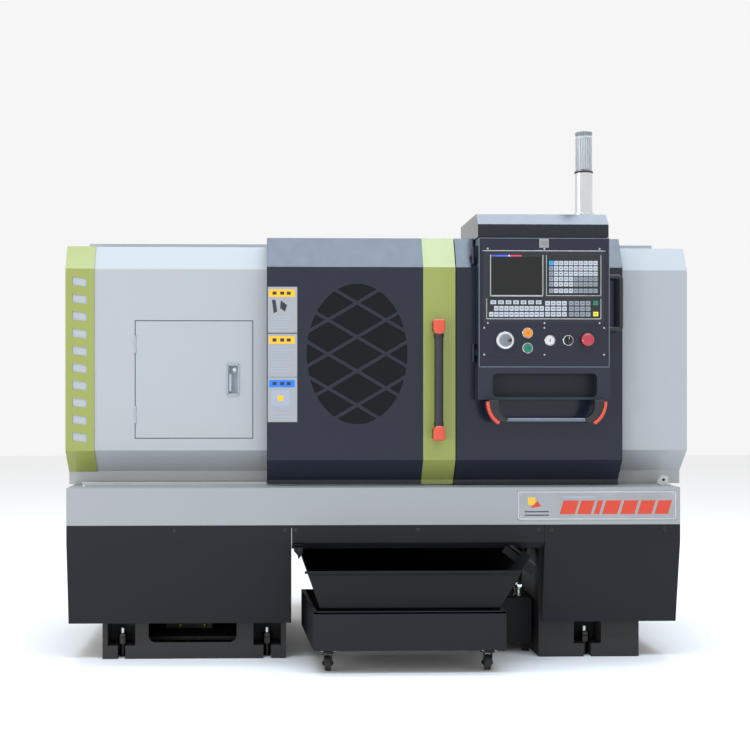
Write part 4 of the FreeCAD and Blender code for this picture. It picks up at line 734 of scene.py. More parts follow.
finish_slots = {"green_button": "green_plastic", "yellow_button": "yellow_plastic"}
button_cap("green_button", "green_cap", green_plastic, green_lens)
button_cap("yellow_button", "yellow_cap", yellow_plastic, yellow_lens)
stop_place = control_place("emergency_stop")
stop = Piece("stop_mushroom", "emergency_stop", "red_plastic")
stop.turned([(0.0, 7.6), (10.6, 7.6), (10.6, 9.4), (16.0, 10.6), (21.3, 12.6), (21.5, 18.4), (20.4, 21.6),
             (16.0, 24.4), (9.0, 26.0), (0.0, 26.4)], stop_place, "-y", red_plastic, 64)
stop.done("emergency_stop")
key_place = control_place("key_switch")
barrel = Piece("key_barrel", "key_switch", "chrome_steel")
barrel.turned([(0.0, 1.6), (15.0, 1.6), (15.0, 5.0), (13.6, 6.4), (6.4, 6.8), (5.6, 6.0), (0.0, 6.0)],
              key_place, "-y", pale_metal, 48)
barrel.block_at(key_place, (-1.3, -7.4, -4.6), (1.3, -5.6, 4.6), black_plastic, 0.3)
barrel.done("key_switch")
knob_place = control_place("selector_knob")
knob = Piece("selector_grip", "selector_knob", "black_plastic")
knob.turned([(0.0, 1.6), (15.0, 1.6), (15.0, 4.4), (13.0, 6.4), (0.0, 6.8)], knob_place, "-y", black_plastic,
            48)
knob.block_at(knob_place, (-3.6, -17.6, -12.6), (3.6, -5.0, 12.6), black_plastic, 1.6, 3)
knob.block_at(knob_place, (-0.7, -17.9, 3.0), (0.7, -17.3, 11.6), pale_key, 0.0)
knob.done("selector_knob")

# %% [markdown]
# ## The pull and the side grab
# Under the console hangs a U-shaped pull: two dark elbows with a coloured trim round the outside, and
# a bright bar between them. An elbow is a flat outline whose round sides come from an ellipse, so it
# is extruded and then eased all over.

# %% Pull and side grab
handle_low, handle_high = span("console_handles")
pocket_low, pocket_high = span("console_pocket")
pull_left = handle_low.x
pull_right = 2.0 * (pocket_low.x + pocket_high.x) / 2.0 - pull_left
pull_top = pocket_low.z
pull_front = handle_low.y + 4.0
pull_back = pull_front + 30.0


def quarter(centre, reach, rise, count=9, start=0.0, end=90.0):
    """Points along a quarter of an ellipse, from level with its centre to straight below it."""
    points = []
    for step in range(count):
        angle = math.radians(start + (end - start) * step / (count - 1))
        points.append((centre[0] - reach * math.cos(angle), centre[1] - rise * math.sin(angle)))
    return points


def pull_elbow(piece, mirror):
    """One elbow of the pull with its trim. The mirror turns left-hand points to the right."""
    flip = (lambda x: pull_left + pull_right - x) if mirror else (lambda x: x)
    outer = quarter((pull_left + 72.0, pull_top - 6.0), 62.0, 72.0, end=84.0)
    inner = quarter((pull_left + 76.0, pull_top - 14.0), 34.0, 48.0, end=88.0)
    outline = [(pull_left + 10.0, pull_top)] + outer + inner[::-1] + [(pull_left + 42.0, pull_top)]
    piece.plate([(flip(x), z) for x, z in outline], "y", pull_front, pull_back, black_plastic, 3.0, 3)
    outside = quarter((pull_left + 72.0, pull_top - 6.0), 71.0, 85.0, 11, 0.0, 64.0)
    inside = quarter((pull_left + 72.0, pull_top - 6.0), 61.5, 73.0, 11, 0.0, 66.0)
    trim = outside + inside[::-1]
    piece.plate([(flip(x), z) for x, z in trim], "y", pull_front - 2.0, pull_back - 4.0, orange_plastic, 1.6,
                2)
    edges = sorted((flip(pull_left + 12.0), flip(pull_left + 40.0)))
    piece.block((edges[0], pull_back - 4.0, pull_top - 18.0), (edges[1], pocket_low.y + 36.0, pull_top),
                black_plastic, 1.5)


grabs = Piece("console_pull", "console", "black_plastic")
for mirror in (False, True):
    pull_elbow(grabs, mirror)
bar_z = pull_top - 67.0
bar_y = (pull_front + pull_back) / 2.0
bar_length = pull_right - pull_left - 2 * 66.0
grabs.rod(7.0, bar_length,
             (pull_left + 66.0, bar_y, bar_z), "x", grip_metal, 32)
grab_x = handle_high.x - 9.0
side_low = pocket_high.z + 130.0
side_top = handle_high.z - 9.0
side_y = face_high.y + 36.0
wall_x = face_high.x
grabs.bar([(wall_x, side_y, side_low), (grab_x - 16.0, side_y, side_low), (grab_x - 4.0, side_y, side_low),
           (grab_x, side_y, side_low + 4.0), (grab_x, side_y, side_low + 18.0),
           (grab_x, side_y, side_top - 22.0),
           (grab_x, side_y, side_top - 6.0), (grab_x - 6.0, side_y, side_top),
           (grab_x - 22.0, side_y, side_top),
           (wall_x, side_y, side_top)], 8.0, black_plastic, 6)
for height in (side_low, side_top):
    grabs.turned([(0.0, 0.0), (13.0, 0.0), (13.0, 3.0), (9.0, 4.5), (0.0, 4.5)], (wall_x, side_y, height),
                 "x",
                 black_plastic, 32)
grabs.done("console_handles")

# %% [markdown]
# ## The door's handle and plates
# The sliding door is pulled by a black bar between two moulded end caps. The caps are shield-shaped
# outlines, extruded and eased until they look moulded, and the bar has shallow finger rings. Beside
# it, at the door's left edge, stand three enamel plates: here only fields of colour and grey rules.

# %% Door handle
grip_low, grip_high = span("door_handle")
door_low = span("door_panel")[0]
grip_x = (grip_low.x + grip_high.x) / 2.0
grip_front = grip_low.y
door_face = grip_high.y
half_cap = (grip_high.x - grip_low.x) / 2.0
cap_rise = 54.0


def end_cap(piece, end, up):
    """A shield-shaped cap with its tongue over the grip, and the post behind it."""
    steps = [(-1.0, 0.0), (1.0, 0.0), (1.0, 0.62), (0.72, 0.88), (0.0, 1.0), (-0.72, 0.88), (-1.0, 0.62)]
    outline = [(grip_x + a * (half_cap - 1.5), end + up * b * cap_rise) for a, b in steps]
    piece.plate(outline, "y", grip_front, grip_front + 30.0, orange_plastic, 7.0, 4)
    low_z, high_z = sorted((end + up * 4.0, end + up * 40.0))
    piece.block((grip_x - half_cap + 4.0, grip_front + 24.0, low_z),
                (grip_x + half_cap - 4.0, door_face, high_z),
                black_plastic, 4.0, 3)


handle = Piece("door_pull", "sliding_door", "black_plastic")
bottom, top = grip_low.z + 30.0, grip_high.z - 30.0
profile = [(0.0, 0.0), (14.6, 0.0)]
ring_count = 26
ring_pitch = (top - bottom) / ring_count
for ring in range(ring_count):
    base = ring * ring_pitch
    profile += [(14.6, base + 1.0), (15.4, base + ring_pitch * 0.4), (15.4, base + ring_pitch * 0.6),
                (14.6, base + ring_pitch - 1.0)]
profile += [(14.6, top - bottom), (0.0, top - bottom)]
handle.turned(profile, (grip_x, grip_front + 18.0, bottom), "z", grip_rubber, 32)
for height in (bottom + 26.0, top - 26.0):
    handle.turned([(0.0, -5.0), (16.6, -5.0), (17.0, 0.0), (16.6, 5.0), (0.0, 5.0)],
                  (grip_x, grip_front + 18.0, height), "z", black_plastic, 32)
end_cap(handle, grip_high.z, -1.0)
end_cap(handle, grip_low.z, 1.0)
handle.done("door_handle")

# %% Information plates on the door
plates = Piece("door_plates", "sliding_door", "keypad_film")
plate_left = door_low.x + 3.0
plate_right = plate_left + 100.0


def rules(piece, left, right, tops, out, finish, thickness=3.0):
    """Plain printed rules, one under another."""
    for number, height in enumerate(tops):
        shorter = (14.0, 4.0, 22.0, 9.0)[number % 4]
        piece.block((left, out - 0.25, height - thickness), (right - shorter, out, height), finish, 0.0)


for top, rise, header_ink in ((1264.0, 156.0, amber_print), (1105.0, 147.0, amber_print),
                              (957.0, 152.0, sky_print)):
    plates.block((plate_left, door_face - 1.0, top - rise), (plate_right, door_face, top), plate_film, 0.4)
    front_ink = door_face - 1.0
    plates.block((plate_left + 4.0, front_ink - 0.3, top - 34.0), (plate_right - 8.0, front_ink, top - 9.0),
                 header_ink, 0.0)
    plates.screw(plate_right - 5.0, front_ink, top - 5.0, 2.4, zinc_plate)
    plates.screw(plate_right - 5.0, front_ink, top - rise + 5.0, 2.4, zinc_plate)
    for mark in (16.0, 42.0, 64.0):
        plates.block((plate_left + mark, front_ink - 0.5, top - 27.0),
                     (plate_left + mark + 14.0, front_ink - 0.2, top - 16.0),
                     dark_print, 0.0)
upper = 1264.0
out = door_face - 1.0
plates.plate([(plate_left + 14.0, upper - 44.0), (plate_left + 26.0, upper - 44.0),
              (plate_left + 32.0, upper - 84.0),
              (plate_left + 20.0, upper - 90.0)], "y", out - 0.3, out, dark_print)
plates.plate([(plate_left + 44.0, upper - 46.0), (plate_left + 66.0, upper - 62.0),
              (plate_left + 58.0, upper - 84.0),
              (plate_left + 42.0, upper - 72.0)], "y", out - 0.3, out, dark_print)
rules(plates, plate_left + 8.0, plate_right - 10.0, [upper - 100.0 - 9.0 * n for n in range(5)], out,
      grey_print)
rules(plates, plate_left + 8.0, plate_right - 10.0, [1062.0 - 10.5 * n for n in range(9)], out, grey_print,
      3.6)
plates.block((plate_left + 12.0, out - 0.3, 858.0), (plate_left + 74.0, out, 914.0), grey_print, 0.0)
plates.block((plate_left + 33.0, out - 0.5, 877.0), (plate_left + 53.0, out - 0.2, 895.0), amber_print, 0.0)
rules(plates, plate_left + 8.0, plate_right - 10.0, [838.0, 824.0], out, grey_print)
plates.done()

# %% [markdown]
# ## Name plate, bracket and screws of the tray
# The long plate on the tray is brushed metal inside a thin raised border, with plain slanted fields
# where a name would be. The skirts below are held by a row of dark screws.

# %% Tray plate
tray_low, tray_high = span("chip_tray")
tray_front = tray_low.y
name_plate = Piece("tray_plate", "machine", "aluminium")
left, right = tray_high.x - 550.0, tray_high.x - 14.0
low_z, high_z = tray_low.z + 17.0, tray_low.z + 111.0
name_plate.block((left, tray_front - 1.4, low_z), (right, tray_front, high_z), brushed_plate, 0.5)
for a, b in (((left, low_z), (right, low_z + 3.0)), ((left, high_z - 3.0), (right, high_z)),
             ((left, low_z), (left + 3.0, high_z)), ((right - 3.0, low_z), (right, high_z))):
    name_plate.block((a[0], tray_front - 2.2, a[1]), (b[0], tray_front - 1.4, b[1]), satin_aluminium, 0.3)
slant = 14.0
starts = [(140.0, 52.0), (200.0, 46.0), (256.0, 18.0), (284.0, 52.0), (346.0, 48.0), (404.0, 48.0),
          (462.0, 46.0)]
for start, width in starts:
    x = left + start
    name_plate.plate([(x, low_z + 18.0), (x + width, low_z + 18.0), (x + width + slant, low_z + 64.0),
                      (x + slant, low_z + 64.0)], "y", tray_front - 1.9, tray_front - 1.4, signal_red)
name_plate.block((left + 150.0, tray_front - 1.8, low_z + 72.0),
                 (left + 260.0, tray_front - 1.4, low_z + 78.0),
                 grey_print, 0.0)
name_plate.block((left + 34.0, tray_front - 1.8, low_z + 50.0), (left + 58.0, tray_front - 1.4, low_z + 74.0),
                 amber_print, 0.0)
name_plate.plate([(left + 40.0, low_z + 38.0), (left + 78.0, low_z + 44.0), (left + 66.0, low_z + 62.0)],
                 "y", tray_front - 2.1, tray_front - 1.8, signal_red)
for height in (low_z + 12.0, low_z + 24.0):
    name_plate.block((left + 22.0, tray_front - 1.8, height), (left + 104.0, tray_front - 1.4, height + 5.0),
                     legend_print, 0.0)
for x in (left + 9.0, right - 9.0):
    name_plate.screw(x, tray_front - 1.4, high_z - 10.0, 3.0, zinc_plate)
    name_plate.screw(x, tray_front - 1.4, low_z + 10.0, 3.0, zinc_plate)
name_plate.done()

# %% Skirt screws and end bracket
skirt_low, skirt_high = span("skirt_panels")
fixings = Piece("skirt_screws", "machine", "machined_steel")
for x in (-731.0, -363.0, -326.0, 82.0, 491.0, 533.0, 917.0):
    fixings.rod(8.0, 1.2, (x, skirt_low.y, skirt_high.z - 17.0), "-y",
                   dark_steel, 24)
    fixings.screw(x, skirt_low.y - 1.2, skirt_high.z - 17.0, 5.2, black_plastic)
fixings.screw(tray_low.x + 46.0, tray_low.y + 90.0, tray_high.z, 5.0, zinc_plate, "z")
bracket_left = tray_high.x - 40.0
ledge_y = tray_low.y + 84.0
fixings.block((bracket_left, ledge_y, tray_high.z), (tray_high.x - 2.0, ledge_y + 40.0, tray_high.z + 3.0),
              zinc_plate, 0.6)
fixings.plate([(bracket_left, tray_high.z + 3.0), (tray_high.x - 2.0, tray_high.z + 3.0),
               (tray_high.x - 2.0, tray_high.z + 30.0), (bracket_left + 16.0, tray_high.z + 32.0),
               (bracket_left, tray_high.z + 14.0)], "y", ledge_y + 37.0, ledge_y + 40.0, zinc_plate, 0.5)
fixings.screw(bracket_left + 22.0, ledge_y + 37.0, tray_high.z + 17.0, 5.0, dark_steel)
fixings.done()

# %% [markdown]
# ## The access door's pull and lock
# The pull in the headstock cover's door is a moulded cup. A raised lip round it and a small turn lock
# are enough, because the cup itself is already in the frame.

# %% Access door pull
cup_low, cup_high = span("access_door_pull")
door_skin = span("access_door")[0].y
cup = Piece("access_pull_lip", "access_door", "black_plastic")
lip = 3.0
for a, b in (((cup_low.x - lip, cup_low.z - lip), (cup_high.x + lip, cup_low.z + 1.0)),
             ((cup_low.x - lip, cup_high.z - 1.0), (cup_high.x + lip, cup_high.z + lip)),
             ((cup_low.x - lip, cup_low.z - lip), (cup_low.x + 1.0, cup_high.z + lip)),
             ((cup_high.x - 1.0, cup_low.z - lip), (cup_high.x + lip, cup_high.z + lip))):
    cup.block((a[0], door_skin - 2.0, a[1]), (b[0], door_skin, b[1]), pale_pull, 0.8)
cup.block((cup_low.x + 4.0, door_skin - 1.6, cup_low.z + 8.0),
          (cup_low.x + 13.0, door_skin + 6.0, cup_high.z - 30.0),
          pale_pull, 2.0, 3)
cup.turned([(0.0, 0.0), (7.0, 0.0), (7.0, 2.0), (5.6, 3.0), (0.0, 3.0)],
           (cup_high.x - 11.0, door_skin + 6.0, cup_high.z - 16.0), "-y", chrome, 24)
cup.done()

# %% [markdown]
# ## The signal lamp
# Through the clear lens of the lamp show a white light tube and its fine upright ribs. The lens stays
# as the frame made it; the tube and rings are turned pieces, and one rib is copied round the axis.

# %% Signal lamp
tube_low, tube_high = span("lamp_tube")
lens_low, lens_high = span("lamp_lens")
lamp_spot = Vector(((tube_low.x + tube_high.x) / 2.0, (tube_low.y + tube_high.y) / 2.0, 0.0))
lamp = Piece("lamp_inner", "machine", "chrome_steel")


def lamp_disc(height, thickness, radius, finish, hole=0.0):
    lamp.turned([(hole, 0.0), (radius - 1.0, 0.0), (radius, 1.0), (radius, thickness - 1.0),
                 (radius - 1.0, thickness),
                 (hole, thickness), (hole, 0.0)], lamp_spot + Vector((0.0, 0.0, height)), "z", finish, 48)


lamp_disc(tube_high.z - 7.0, 7.0, 31.6, black_plastic, 30.1)
lamp_disc(lens_low.z + 4.0, 116.0, 6.0, grey_plastic)
lamp_disc(lens_low.z + 6.0, 112.0, 21.0, white_plastic)
for rib in range(18):
    lamp.block_at(lamp_spot, (-0.7, 20.5, lens_low.z + 8.0), (0.7, 22.5, lens_low.z + 116.0),
               grey_plastic, 0.0, 1, about(lamp_spot, "z", 20.0 * rib))
lamp_disc(lens_high.z - 9.0, 8.6, 28.9, grey_plastic, 28.1)
for fixing in range(3):
    angle = math.tau * fixing / 3.0
    lamp.screw(lamp_spot.x + 33.0 * math.cos(angle), lamp_spot.y + 33.0 * math.sin(angle), tube_low.z + 12.0,
               2.2,
               zinc_plate, "z")
lamp.done()

# %% [markdown]
# ## The lubricator
# A pale oil tank with moulded ribs, a dark pump head on top of it, a filler cap and a brass outlet.

# %% Lubricator
oil_low, oil_high = span("lubricator")
oil = Piece("lubricator_fittings", "machine", "reservoir_plastic")
body_top = oil_high.z - 90.0
for level in range(4):
    height = oil_low.z + 36.0 + level * 48.0
    oil.block((oil_low.x + 4.0, oil_low.y - 1.4, height), (oil_high.x - 4.0, oil_low.y, height + 9.0),
              reservoir, 1.2)
oil.block((oil_low.x + 14.0, oil_low.y - 2.4, body_top - 6.0),
          (oil_high.x - 4.0, oil_low.y + 8.0, body_top + 5.0),
          grey_plastic, 1.5)
oil.turned([(0.0, 0.0), (17.0, 0.0), (17.0, 8.0), (15.0, 11.0), (0.0, 11.0)],
           (oil_low.x + 40.0, oil_low.y + 126.0, body_top), "z", black_plastic, 32)
oil.turned([(0.0, 0.0), (14.0, 0.0), (14.0, 5.0), (12.0, 7.0), (0.0, 7.0)],
           (oil_low.x + 34.0, oil_low.y + 10.0, oil_high.z - 46.0), "-y", satin_aluminium, 32)
oil.turned([(0.0, 0.0), (6.0, 0.0), (6.0, 9.0), (4.0, 12.0), (0.0, 12.0)],
           (oil_low.x + 56.0, oil_low.y + 10.0, oil_high.z - 20.0), "-y", brass, 6)
oil.done()

# %% [markdown]
# ## Feet, motor and belts
# Each foundation bolt gets its nut and stud end. The motor that shows through the fork slot
# is a finned cast body with a fan cowl: one fin is a thin block, and a loop turns copies of it round
# the motor's axis.

# %% Foundation bolts
bolt_low, bolt_high = span("foundation_bolts")
pedestal_high = span("left_pedestal")[1]
bolt_y = (bolt_low.y + bolt_high.y) / 2.0
nuts = Piece("foundation_nuts", "machine", "machined_steel")
for x in (bolt_low.x + 18.0, pedestal_high.x - 64.0, bolt_high.x - 18.0):
    nuts.turned([(0.0, 0.0), (15.0, 0.0), (17.0, 2.0), (17.0, 14.0), (15.0, 16.0), (0.0, 16.0)],
                (x, bolt_y, bolt_high.z), "z", dark_steel, 6)
    nuts.turned([(0.0, 0.0), (8.4, 0.0), (8.4, 33.0), (7.0, 35.0), (0.0, 35.0)], (x, bolt_y, bolt_high.z),
                "z",
                zinc_plate, 24)
nuts.done()

# %% Main motor
motor_low, motor_high = span("main_motor")
pulley_low, pulley_high = span("motor_pulley")
axis_y = (pulley_low.y + pulley_high.y) / 2.0
axis_z = (pulley_low.z + pulley_high.z) / 2.0
motor_length = motor_high.x - motor_low.x
motor = Piece("motor_casting", "machine", "motor_paint")
start = Vector((motor_low.x, axis_y, axis_z))
motor.turned([(21.0, 0.0), (60.0, 0.0), (96.0, 8.0), (104.0, 12.0), (104.0, 26.0), (92.0, 30.0),
              (92.0, motor_length - 74.0), (100.0, motor_length - 70.0), (103.0, motor_length - 60.0),
              (103.0, motor_length - 14.0), (92.0, motor_length), (0.0, motor_length), (0.0, 30.0),
              (21.0, 30.0),
              (21.0, 0.0)], start, "x", motor_paint, 64)
fin_count = 36
for fin in range(fin_count):
    angle = 360.0 * fin / fin_count
    motor.block_at(start, (30.0, -1.5, 90.0), (motor_length - 74.0, 1.5, 102.0), motor_paint,
                0.6, 1, about(start, "x", angle))
for foot_y in (-84.0, 56.0):
    motor.block((motor_low.x + 40.0, axis_y + foot_y, motor_low.z),
                (motor_high.x - 90.0, axis_y + foot_y + 28.0,
                axis_z - 84.0), motor_paint, 2.0)
motor.block((motor_low.x + 70.0, axis_y - 46.0, axis_z + 96.0),
            (motor_low.x + 180.0, axis_y + 46.0, axis_z + 104.0),
            motor_paint, 2.0)
# painted glint: two brass studs on the motor's feet stand in for small yellow glints there
for stud_x in (motor_low.x + 96.0, motor_high.x - 118.0):
    motor.turned([(0.0, 0.0), (7.0, 0.0), (7.0, 8.0), (4.0, 11.0), (0.0, 11.0)],
                 (stud_x, axis_y - 84.0, motor_low.z + 14.0), "-y", brass, 6)
motor.done("main_motor")

# %% [markdown]
# ## Casters and wheels
# A swivel caster has a pressed fork with two rows of rivets, a raceway and a hub with its axle nut. A
# wheel is a tyre round a moulded centre, so it is spun from one profile in two finishes.


# %% Casters
def caster_wheel(name, body, slot, node, radius, width, xs):
    """Wheels on one axle: a rounded tyre round a dished grey centre."""
    low, high = span(node)
    piece = Piece(name, body, slot)
    for x in xs:
        spot = Vector((x - width / 2.0, (low.y + high.y) / 2.0, (low.z + high.z) / 2.0))
        piece.turned([(radius * 0.72, 0.0), (radius * 0.93, 0.4), (radius, 3.2), (radius, width - 3.2),
                      (radius * 0.93, width - 0.4), (radius * 0.72, width), (radius * 0.72, 0.0)],
                     spot, "x", tyre_rubber, 48)
        piece.turned([(4.2, 0.6), (radius * 0.3, 0.6), (radius * 0.36, 3.0), (radius * 0.66, 3.0),
                      (radius * 0.722, 0.8), (radius * 0.722, width - 0.8), (radius * 0.66, width - 3.0),
                      (radius * 0.36, width - 3.0), (radius * 0.3, width - 0.6), (4.2, width - 0.6),
                      (4.2, 0.6)],
                     spot, "x", grey_plastic, 40)
    return piece


for side in ("left", "right"):
    fork_low = span("caster_fork_" + side)[0]
    wheel_low, wheel_high = span("caster_wheel_" + side)
    wheel_x = (wheel_low.x + wheel_high.x) / 2.0
    radius = (wheel_high.z - wheel_low.z) / 2.0
    width = wheel_high.x - wheel_low.x
    caster_wheel("caster_tyre_" + side, "caster_wheel_" + side, "wheel_rubber", "caster_wheel_" + side,
                 radius, width,
                 [wheel_x]).done("caster_wheel_" + side)
    fork = Piece("caster_trim_" + side, "caster_fork_" + side, "chrome_steel")
    pin_y = fork_low.y + 20.0
    fork.turned([(5.2, 0.0), (24.0, 0.0), (26.0, 2.0), (26.0, 5.0), (22.0, 6.6), (5.2, 6.6), (5.2, 0.0)],
                (wheel_x, pin_y, 62.0), "z", dark_steel, 40)
    axle_y = (wheel_low.y + wheel_high.y) / 2.0
    for direction in ("x", "-x"):
        sign = 1.0 if direction == "x" else -1.0
        outer = wheel_x + sign * (width / 2.0 + 4.0)
        fork.turned([(0.0, 0.0), (6.4, 0.0), (6.4, 3.6), (5.4, 4.4), (0.0, 4.4)], (outer, axle_y, radius),
                    direction,
                    dark_steel, 6)
        for step in (0.3, 0.7):
            fork.turned([(0.0, 0.0), (2.2, 0.0), (1.6, 1.0), (0.0, 1.2)],
                        (outer, pin_y + step * (axle_y - pin_y), 52.0 - step * 14.0), direction, zinc_plate,
                        12)
    fork.done()
rear_low, rear_high = span("rear_wheels")
rear_radius = (rear_high.z - rear_low.z) / 2.0
rear_width = 24.0
rear_xs = [rear_low.x + 14.0, rear_high.x - 14.0]
rear = caster_wheel("rear_tyres", "rear_wheels", "wheel_rubber", "rear_wheels", rear_radius, rear_width,
                    rear_xs)
rear_y = (rear_low.y + rear_high.y) / 2.0
rear.rod(6.0, rear_high.x - rear_low.x,
            (rear_low.x, rear_y, rear_radius), "x", zinc_plate, 24)
rear.done("rear_wheels")

# %% [markdown]
# ## The chip cart's hem and the hopper's fittings
# Sheet bins have their top edge folded over for strength, and caster plates held by four bolts. The
# funnel over the cart hangs from a hooked bracket on the left and is braced by a strut on the right.

# %% Cart hem and caster bolts
cart_low, cart_high = span("cart_body")
caster_low = span("caster_fork_left")[0]
cart_left = cart_low.x + 26.0
cart_right = cart_high.x - 26.0
cart_trim = Piece("cart_hem", "cart", "cast_dark")
hem = 13.0
rim_low, rim_high = cart_high.z - 7.0, cart_high.z + 2.0
front_hem = [(cart_left, cart_low.y), (cart_right, cart_low.y), (cart_right, cart_low.y + hem),
             (cart_left, cart_low.y + hem)]
back_hem = [(cart_low.x, cart_high.y - hem), (cart_high.x, cart_high.y - hem), (cart_high.x, cart_high.y),
            (cart_low.x, cart_high.y)]
left_hem = [(cart_left, cart_low.y), (cart_left + hem, cart_low.y), (cart_low.x + hem, cart_high.y),
            (cart_low.x, cart_high.y)]
right_hem = [(cart_right - hem, cart_low.y), (cart_right, cart_low.y), (cart_high.x, cart_high.y),
             (cart_high.x - hem, cart_high.y)]
for outline in (front_hem, back_hem, left_hem, right_hem):
    cart_trim.plate(outline, "z", rim_low, rim_high, skirt_paint, 1.6)
fork_y = caster_low.y + 20.0
for side in ("left", "right"):
    low, high = span("caster_wheel_" + side)
    x = (low.x + high.x) / 2.0
    for dx in (-20.0, 20.0):
        for dy in (-20.0, 20.0):
            cart_trim.turned([(0.0, 0.0), (5.4, 0.0), (5.4, 3.4), (4.4, 4.2), (0.0, 4.2)],
                             (x + dx, fork_y + dy, 73.0), "-z", zinc_plate, 6)
cart_trim.done()

# %% Hopper bracket, strut and hoses
funnel_low, funnel_high = span("chip_hopper")
tank_low, tank_high = span("coolant_tank")
hopper = Piece("hopper_fittings", "machine", "black_paint")
hook_x = funnel_low.x + 24.0
hook_y = -505.0
hopper.plate([(hook_x - 14.0, 398.0), (hook_x + 16.0, 398.0), (hook_x + 16.0, 372.0), (hook_x + 2.0, 352.0),
              (hook_x - 2.0, 366.0), (hook_x - 14.0, 380.0)], "y", hook_y, hook_y + 5.0, hopper_paint, 0.8)
hopper.block((hook_x - 14.0, hook_y, 392.0), (hook_x + 16.0, -441.0, 398.0), hopper_paint, 0.8)
hopper.screw(hook_x + 4.0, hook_y, 382.0, 4.6, dark_steel)
panel_y = -588.0
hopper.block((funnel_low.x + 44.0, panel_y - 3.0, 316.0), (funnel_high.x - 92.0, panel_y + 9.0, 324.0),
             hopper_paint,
             1.6)
strut_low = Vector((funnel_high.x - 22.0, -446.0, 300.0))
strut = about(strut_low, "y", -52.0)
hopper.block_at(strut_low, (-13.0, -6.0, 0.0), (13.0, 6.0, 128.0), hopper_paint, 1.2, 2, strut)
hopper.block_at(strut_low, (18.0, -3.0, 10.0), (27.0, 3.0, 118.0), dark_steel, 0.8, 2,
             strut)
pump_x = (tank_low.x + tank_high.x) / 2.0
hopper.turned([(0.0, 0.0), (17.0, 0.0), (17.0, 7.0), (12.0, 10.0), (12.0, 24.0), (15.0, 26.0), (15.0, 32.0),
               (0.0, 32.0)], (pump_x + 20.0, tank_low.y + 34.0, 190.0), "z", zinc_plate, 24)
hopper.turned([(0.0, 0.0), (12.0, 0.0), (12.0, 14.0), (9.0, 16.0), (0.0, 16.0)],
              (pump_x + 20.0, tank_low.y + 26.0, 232.0), "-y", chrome, 6)
hopper.bar([(pump_x + 20.0, tank_low.y + 34.0, 214.0), (pump_x + 20.0, tank_low.y + 34.0, 262.0),
            (pump_x + 30.0, tank_low.y + 30.0, 320.0), (pump_x + 52.0, tank_low.y + 50.0, 380.0),
            (pump_x + 58.0, tank_low.y + 70.0, 430.0), (pump_x + 58.0, tank_low.y + 70.0, 461.0)], 11.0,
            hose_rubber)
hopper.bar([(pump_x - 34.0, tank_low.y + 30.0, 190.0), (pump_x - 34.0, tank_low.y + 26.0, 226.0),
            (pump_x - 8.0, tank_low.y - 4.0, 262.0), (pump_x + 20.0, tank_low.y - 2.0, 252.0),
            (pump_x + 20.0, tank_low.y + 12.0, 238.0)], 7.0, hose_rubber)
hopper.block((tank_low.x + 8.0, tank_low.y + 8.0, 190.0), (tank_high.x - 8.0, tank_high.y - 8.0, 193.0),
             hopper_paint,
             0.8)
hopper.done()

# %% Coolant pump
pump = Piece("coolant_pump", "machine", "black_paint")
pump_y = tank_high.y - 62.0
pump.turned([(42.0, 60.0), (43.4, 62.0), (43.4, 66.0), (42.0, 68.0), (42.0, 60.0)], (pump_x, pump_y, 190.0),
            "z",
            dark_steel, 40)
for fin in range(28):
    spot = Vector((pump_x, pump_y, 190.0))
    pump.block_at(spot, (41.0, -0.9, 76.0), (46.0, 0.9, 176.0), hopper_paint, 0.3, 1,
               about(spot, "z", fin * 360.0 / 28.0))
pump.turned([(0.0, 0.0), (38.0, 0.0), (44.0, -6.0), (44.0, -26.0), (42.0, -26.0), (42.0, -8.0), (0.0, -8.0),
             (0.0, 0.0)], (pump_x, pump_y, 404.0), "z", grey_plastic, 40)
pump.done()

# %% [markdown]
# ## The working parts behind the door
# The chuck carries cap screws and a ring of face grooves, each jaw is held by two screws, and the
# turret clamps every tool with two square-headed screws. One of each is placed, and a turn about
# the right axis makes the rest.

# %% Chuck and jaws
chuck_low, chuck_high = span("chuck")
chuck_face = Vector((chuck_high.x, (chuck_low.y + chuck_high.y) / 2.0, (chuck_low.z + chuck_high.z) / 2.0))
chuck_radius = (chuck_high.z - chuck_low.z) / 2.0
jaw_tip = span("chuck_jaws")[1]
chuck_trim = Piece("chuck_screws", "spindle", "machined_steel")
for ring_radius in (chuck_radius - 6.0, chuck_radius * 0.36):
    chuck_trim.turned([(ring_radius - 1.6, 0.0), (ring_radius - 1.2, 0.8), (ring_radius + 1.2, 0.8),
                       (ring_radius + 1.6, 0.0)], chuck_face, "x", ground_steel, 64)
for third in range(3):
    for lean in (32.0, 88.0):
        turn = about(chuck_face, "x", 120.0 * third + lean)
        chuck_trim.turned([(0.0, 0.0), (7.5, 0.0), (7.5, 5.0), (6.5, 6.0), (4.0, 6.0), (4.0, 2.5),
                           (0.0, 2.5)],
                          chuck_face + Vector((0.0, 0.0, chuck_radius * 0.76)), "x", dark_steel, 24, turn)
    turn = about(chuck_face, "x", 120.0 * third)
    chuck_trim.turned([(0.0, 0.0), (5.0, 0.0), (5.0, 3.0), (3.0, 3.0), (3.0, 1.0), (0.0, 1.0)],
                      Vector((jaw_tip.x, chuck_face.y, chuck_face.z + 46.0)), "x", dark_steel, 24, turn)
    chuck_trim.turned([(0.0, 0.0), (6.0, 0.0), (6.0, 3.0), (3.4, 3.0), (3.4, 1.0), (0.0, 1.0)],
                      Vector((jaw_tip.x - 20.0, chuck_face.y, chuck_face.z + 78.0)), "x", dark_steel, 24,
                      turn)
chuck_trim.done()

# %% [markdown]
# The feed screw is a true helix. Its thread's section is spun round the axis while it also moves
# along it, one lead for every turn.

